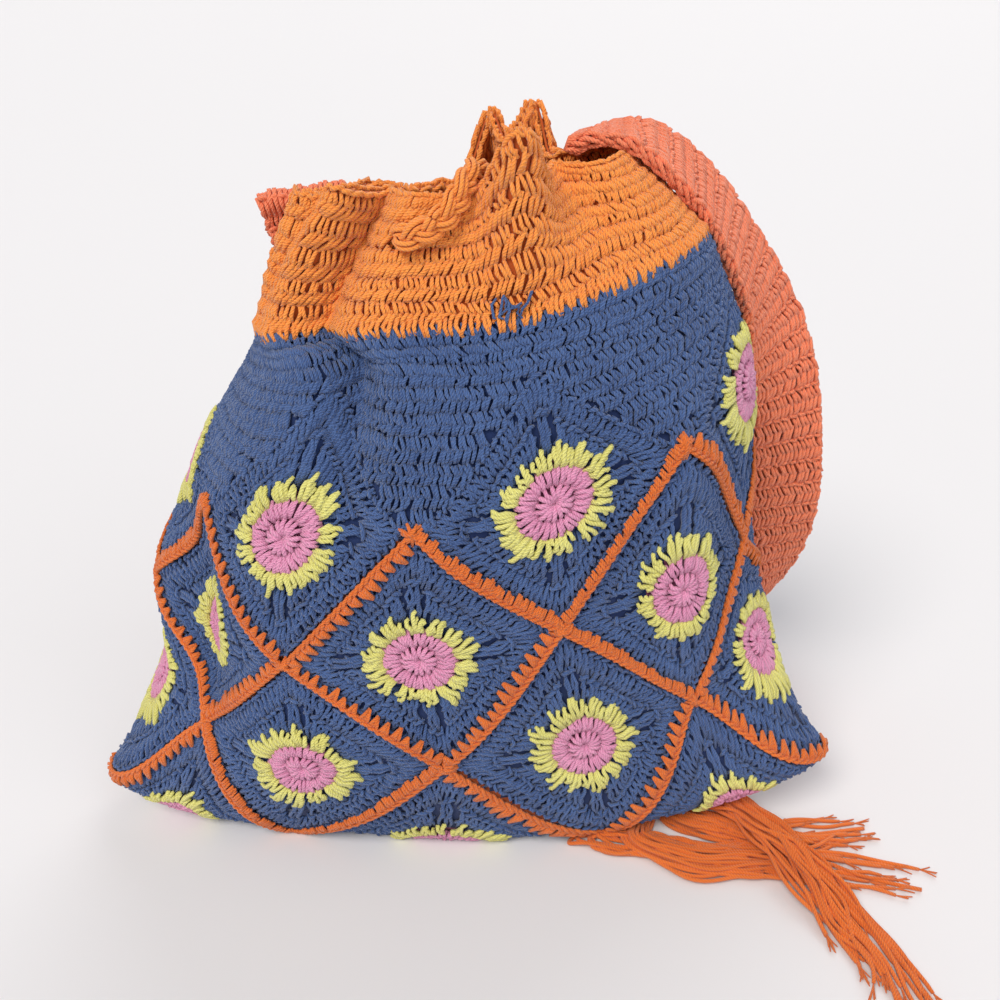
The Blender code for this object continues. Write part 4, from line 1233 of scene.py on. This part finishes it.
def make_drawstring():
    """Three bundles of yarn plaited into a closed cord."""
    yarn = Yarn(sides=5)
    line, flat, high = cord_frame()
    run = run_along(line)
    repeats = round(run[-1] / PLAIT_REPEAT)
    phase = 2 * math.pi * repeats * run / run[-1]
    for strand in range(PLAIT_STRANDS):
        turn = phase + strand * 2 * math.pi / PLAIT_STRANDS
        centre = (
            line
            + high * (PLAIT_WIDTH * np.sin(turn))[:, None]
            + flat * (PLAIT_DEPTH * np.sin(2 * turn))[:, None]
        )
        along = unit(np.gradient(centre, axis=0))
        side = unit(np.cross(along, flat))
        face = np.cross(side, along)
        for end in range(PLAIT_ENDS):
            spin = end * 2 * math.pi / PLAIT_ENDS + phase / PLAIT_SLOW_TWIST
            shift = side * np.cos(spin)[:, None] + face * np.sin(spin)[:, None]
            yarn.add((centre + PLAIT_BUNDLE * shift)[None], face[None], PLAIT_YARN)
    yarn.piece("plaited_drawstring", [ORANGE], "orange_cotton", ["drawstring"])


# The tassel

TASSEL_YARN = 0.0013
TASSEL_ENDS = 30
TASSEL_STEPS = 60
TASSEL_LOCK_DEPTH = 0.5
TASSEL_FAN = (1.1, 1.9)
TASSEL_SHORTEST = 0.72

# Bends of a loose end: the length that they take and how far they swing
TASSEL_SWAYS = ((0.0065, 0.0009), (0.012, 0.0018), (0.024, 0.0026))

FRAY_PLIES = 4
FRAY_STEPS = 6
FRAY_LENGTH = 0.011
FRAY_SHORTEST = 0.5
FRAY_YARN = 0.00045
FRAY_SPREAD = 0.0030
FRAY_CURL = 1.5

# Yarns that loop back at the tassel's left: places on the floor, which the loops share loosely
TASSEL_LOOP = (
    (0.172, -0.066), (0.140, -0.060), (0.105, -0.056), (0.078, -0.052), (0.071, -0.057),
    (0.082, -0.063), (0.112, -0.064), (0.146, -0.068), (0.178, -0.072),
)
TASSEL_LOOPS = 9
LOOP_MESS = 0.0022
LOOP_SHIFT = (0.016, 0.003)
LOOP_PILE = 3


def make_tassel():
    """Three locks of loose ends. The middle yarn of each, which the others go with, is made as a piece of its
    own.
    """
    for number, (route, widths) in enumerate(TASSEL_LOCKS, 1):
        line = smooth_curve(route, TASSEL_STEPS)
        half = np.interp(np.linspace(0, 2, TASSEL_STEPS), (0, 1, 2), widths)
        up = np.broadcast_to(UP, line.shape)
        strands = Yarn(sides=5)
        for _ in range(TASSEL_ENDS):
            points = loose_end(line, half, up)
            strands.add(points[None], up[None], TASSEL_YARN, taper=0.8)
            add_fray(strands, points)
        if number == 1:
            add_tassel_loops(strands)
        ends = strands.piece(f"tassel_ends_{number}", [RUST], "rust_cotton", [f"tassel_lock_{number}"])
        middle = line + [0, 0, FLOOR_GAP + TASSEL_YARN]
        core = Yarn(sides=8)
        core.add(middle[None], up[None], TASSEL_YARN, taper=1.0)
        core.piece(f"tassel_middle_yarn_{number}", [RUST], "rust_cotton")


def loose_end(line, half, up):
    """One yarn of a lock, which fans out, sways and stops short by its own amount."""
    share = np.linspace(0, 1, TASSEL_STEPS)
    aside = unit(np.cross(unit(np.gradient(line, axis=0)), up))
    run = run_along(line)
    place = rng.uniform(-1, 1)
    level = rng.uniform(0, 1) * math.sqrt(1 - place**2)
    sway = sum(
        rng.normal(0, size) * np.sin(run / length + rng.uniform(0, 2 * math.pi))
        for length, size in TASSEL_SWAYS
    )
    fan = np.interp(share, (0, 1), TASSEL_FAN)
    off = place * half * fan + sway * smooth(share * 3)
    points = line + aside * off[:, None]
    pile = level * 2 * half * TASSEL_LOCK_DEPTH * (1 - share**3)
    points[:, 2] = FLOOR_GAP + TASSEL_YARN + pile + line[:, 2]
    last = rng.integers(int(TASSEL_STEPS * TASSEL_SHORTEST), TASSEL_STEPS)
    return smooth_curve(points[: last + 1], TASSEL_STEPS)


def add_fray(strands, points):
    """The plies of a yarn's end, which come apart past its tip."""
    tip = points[-1]
    onward = unit(points[-1] - points[-3])
    aside = unit(np.cross(onward, UP))
    steps = np.linspace(0, 1, FRAY_STEPS)[:, None]
    up = np.broadcast_to(UP, (1, FRAY_STEPS, 3))
    for _ in range(FRAY_PLIES):
        reach = FRAY_LENGTH * rng.uniform(FRAY_SHORTEST, 1.0)
        spread = FRAY_SPREAD * rng.uniform(-1, 1)
        line = tip + onward * (steps * reach) + aside * (steps**FRAY_CURL * spread)
        floor = rng.uniform(FRAY_YARN, 2 * TASSEL_YARN) + FLOOR_GAP
        line[:, 2] = np.linspace(tip[2], floor, FRAY_STEPS)
        strands.add(line[None], up, FRAY_YARN)


def add_tassel_loops(strands):
    """Yarns that turn back on the floor, each a little beside the others."""
    up = np.broadcast_to(UP, (1, TASSEL_STEPS, 3))
    aside, onward = LOOP_SHIFT
    for _ in range(TASSEL_LOOPS):
        places = np.array(TASSEL_LOOP) + rng.normal(0, LOOP_MESS, (len(TASSEL_LOOP), 2))
        places = places + [rng.uniform(0, aside), rng.uniform(-onward, onward)]
        high = FLOOR_GAP + TASSEL_YARN * (1 + rng.uniform(0, LOOP_PILE, len(places)))
        line = smooth_curve(np.column_stack([places, high]), TASSEL_STEPS)
        strands.add(line[None], up, TASSEL_YARN)


# The binding round the tassel's root

BINDING_TURNS = 9
BINDING_STEPS = 150
BINDING_YARN = 0.0013
BINDING_CORE = BINDING_RADIUS - 0.002
CORE_STEPS = 4


def binding_line(radius, angle):
    """Points round and along the binding, at the angles given."""
    x, y = BINDING_CENTRE
    return np.stack([
        x + radius * np.cos(angle),
        np.linspace(y - BINDING_LENGTH / 2, y + BINDING_LENGTH / 2, len(angle)),
        BINDING_RADIUS + FLOOR_GAP + radius * np.sin(angle),
    ], -1)


def make_binding():
    """The tassel's yarn wound round its root, over a core of its ends."""
    yarn = Yarn(sides=5)
    angle = np.linspace(0, 2 * math.pi * BINDING_TURNS, BINDING_STEPS)
    line = binding_line(BINDING_RADIUS - BINDING_YARN, angle)
    out = np.stack([np.cos(angle), np.zeros(BINDING_STEPS), np.sin(angle)], -1)
    yarn.add(line[None], out[None], BINDING_YARN)
    core = binding_line(0.0, np.zeros(CORE_STEPS))
    yarn.add(core[None], np.broadcast_to(UP, (1, CORE_STEPS, 3)), BINDING_CORE, taper=1.0)
    yarn.piece("wound_binding", [RUST], "rust_cotton", ["tassel_binding"])


# Camera, light and floor

CAMERA_PLACE = (0.061, -0.520, 0.490)
CAMERA_PITCH = 27.9
CAMERA_YAW = 4.7
LENS = 36
SENSOR = 36


def make_camera():
    data = bpy.data.cameras.new("camera")
    data.lens = LENS
    data.sensor_width = SENSOR
    camera = bpy.data.objects.new("camera", data)
    camera.location = CAMERA_PLACE
    camera.rotation_euler = (math.radians(90 - CAMERA_PITCH), 0, math.radians(CAMERA_YAW))
    bpy.context.scene.collection.objects.link(camera)
    bpy.context.scene.camera = camera


# Wide soft lamps, far away: place that the light comes from, spread in degrees, strength and colour
LAMPS = {
    "key light": ((-0.55, -1.0, 1.35), 28, 2.1, "#fff8f0"),
    "fill light": ((1.2, -0.9, 0.9), 50, 0.6, "#ffffff"),
    "back light": ((0.3, 1.4, 1.1), 50, 1.0, "#ffffff"),
}
FLOOR_REACH = 60.0
FLOOR_COLOUR = "#e3e3e6"
BACKDROP = "#f6f5f5"
WORLD_COLOUR = "#f2f3f6"
WORLD_STRENGTH = 0.42


def make_lamp(name, place, spread, strength, colour):
    data = bpy.data.lights.new(name, "SUN")
    data.angle = math.radians(spread)
    data.energy = strength
    data.color = linear(colour)[:3]
    lamp = bpy.data.objects.new(name, data)
    x, y, z = place
    lamp.rotation_euler = (math.atan2(math.hypot(x, y), z), 0, math.atan2(x, -y))
    bpy.context.scene.collection.objects.link(lamp)


def make_floor():
    """A pale painted board, matt, that runs far past what the camera sees."""
    mesh = bpy.data.meshes.new("floor")
    corners = [(x * FLOOR_REACH, y * FLOOR_REACH, 0) for x, y in ((-1, -1), (1, -1), (1, 1), (-1, 1))]
    mesh.from_pydata(corners, [], [(0, 1, 2, 3)])
    floor = bpy.data.objects.new("floor", mesh)
    bpy.context.scene.collection.objects.link(floor)
    material = bpy.data.materials.new("pale painted board")
    material.use_nodes = True
    shader = material.node_tree.nodes["Principled BSDF"]
    shader.inputs["Base Color"].default_value = linear(FLOOR_COLOUR)
    shader.inputs["Roughness"].default_value = 0.8
    shader.inputs["Specular IOR Level"].default_value = 0.1
    mesh.materials.append(material)


def make_world():
    """Pale light from all round. What the eye sees behind the floor has the floor's own pale tone."""
    world = bpy.data.worlds.new("studio")
    world.use_nodes = True
    nodes = world.node_tree.nodes
    soft = nodes["Background"]
    soft.inputs["Color"].default_value = linear(WORLD_COLOUR)
    soft.inputs["Strength"].default_value = WORLD_STRENGTH
    seen = add_node(world, "ShaderNodeBackground", {"Color": linear(BACKDROP)})
    path = add_node(world, "ShaderNodeLightPath")
    direct = add_node(
        world, "ShaderNodeMath", {0: path.outputs["Is Camera Ray"], 1: path.outputs["Is Glossy Ray"]},
        operation="MAXIMUM",
    )
    direct = add_node(
        world, "ShaderNodeMath", {0: direct.outputs[0], 1: path.outputs["Is Transmission Ray"]},
        operation="MAXIMUM",
    )
    mixed = add_node(
        world, "ShaderNodeMixShader", {"Fac": direct.outputs[0], 1: soft.outputs[0], 2: seen.outputs[0]}
    )
    world.node_tree.links.new(mixed.outputs[0], nodes["World Output"].inputs["Surface"])
    bpy.context.scene.world = world


def make_studio():
    make_floor()
    make_world()
    for name, lamp in LAMPS.items():
        make_lamp(name, *lamp)


# The whole bag

# The flowers of the yoke are drawn a little wider than the others
UPPER_WIDENING = 1.15


def make_bag():
    """The loose yarns come first, and then the cloth. The rows of squares are d, c, b and a, upwards."""
    make_tassel()
    make_drawstring()
    make_binding()
    make_ground()
    for row, letter in ((0, "d"), (1, "c"), (2, "b")):
        first = 1 - row % 2
        last = COLUMNS // 2 if row == 0 else COLUMNS
        for number, column in enumerate(range(first, last, 2), 1):
            make_square(f"stitched_square_{letter}{number}", (column, row), [f"square_{letter}{number}"])
            make_flower(f"yarn_flower_{letter}{number}", (column, row), 1.0, f"flower_{letter}{number}")
    for number, column in enumerate(range(0, COLUMNS, 2), 1):
        make_square(f"stitched_square_a{number}", (column, 3), ["blue_yoke"])
        make_flower(f"yarn_flower_a{number}", (column, 3), UPPER_WIDENING, f"flower_a{number}")
    make_yoke_rows()
    make_joins()
    make_band()
    make_strap()
    make_strap_ground()
    make_strap_ends()
    make_snag()


bpy.context.scene.view_settings.view_transform = "Standard"
make_camera()
make_studio()
make_bag()
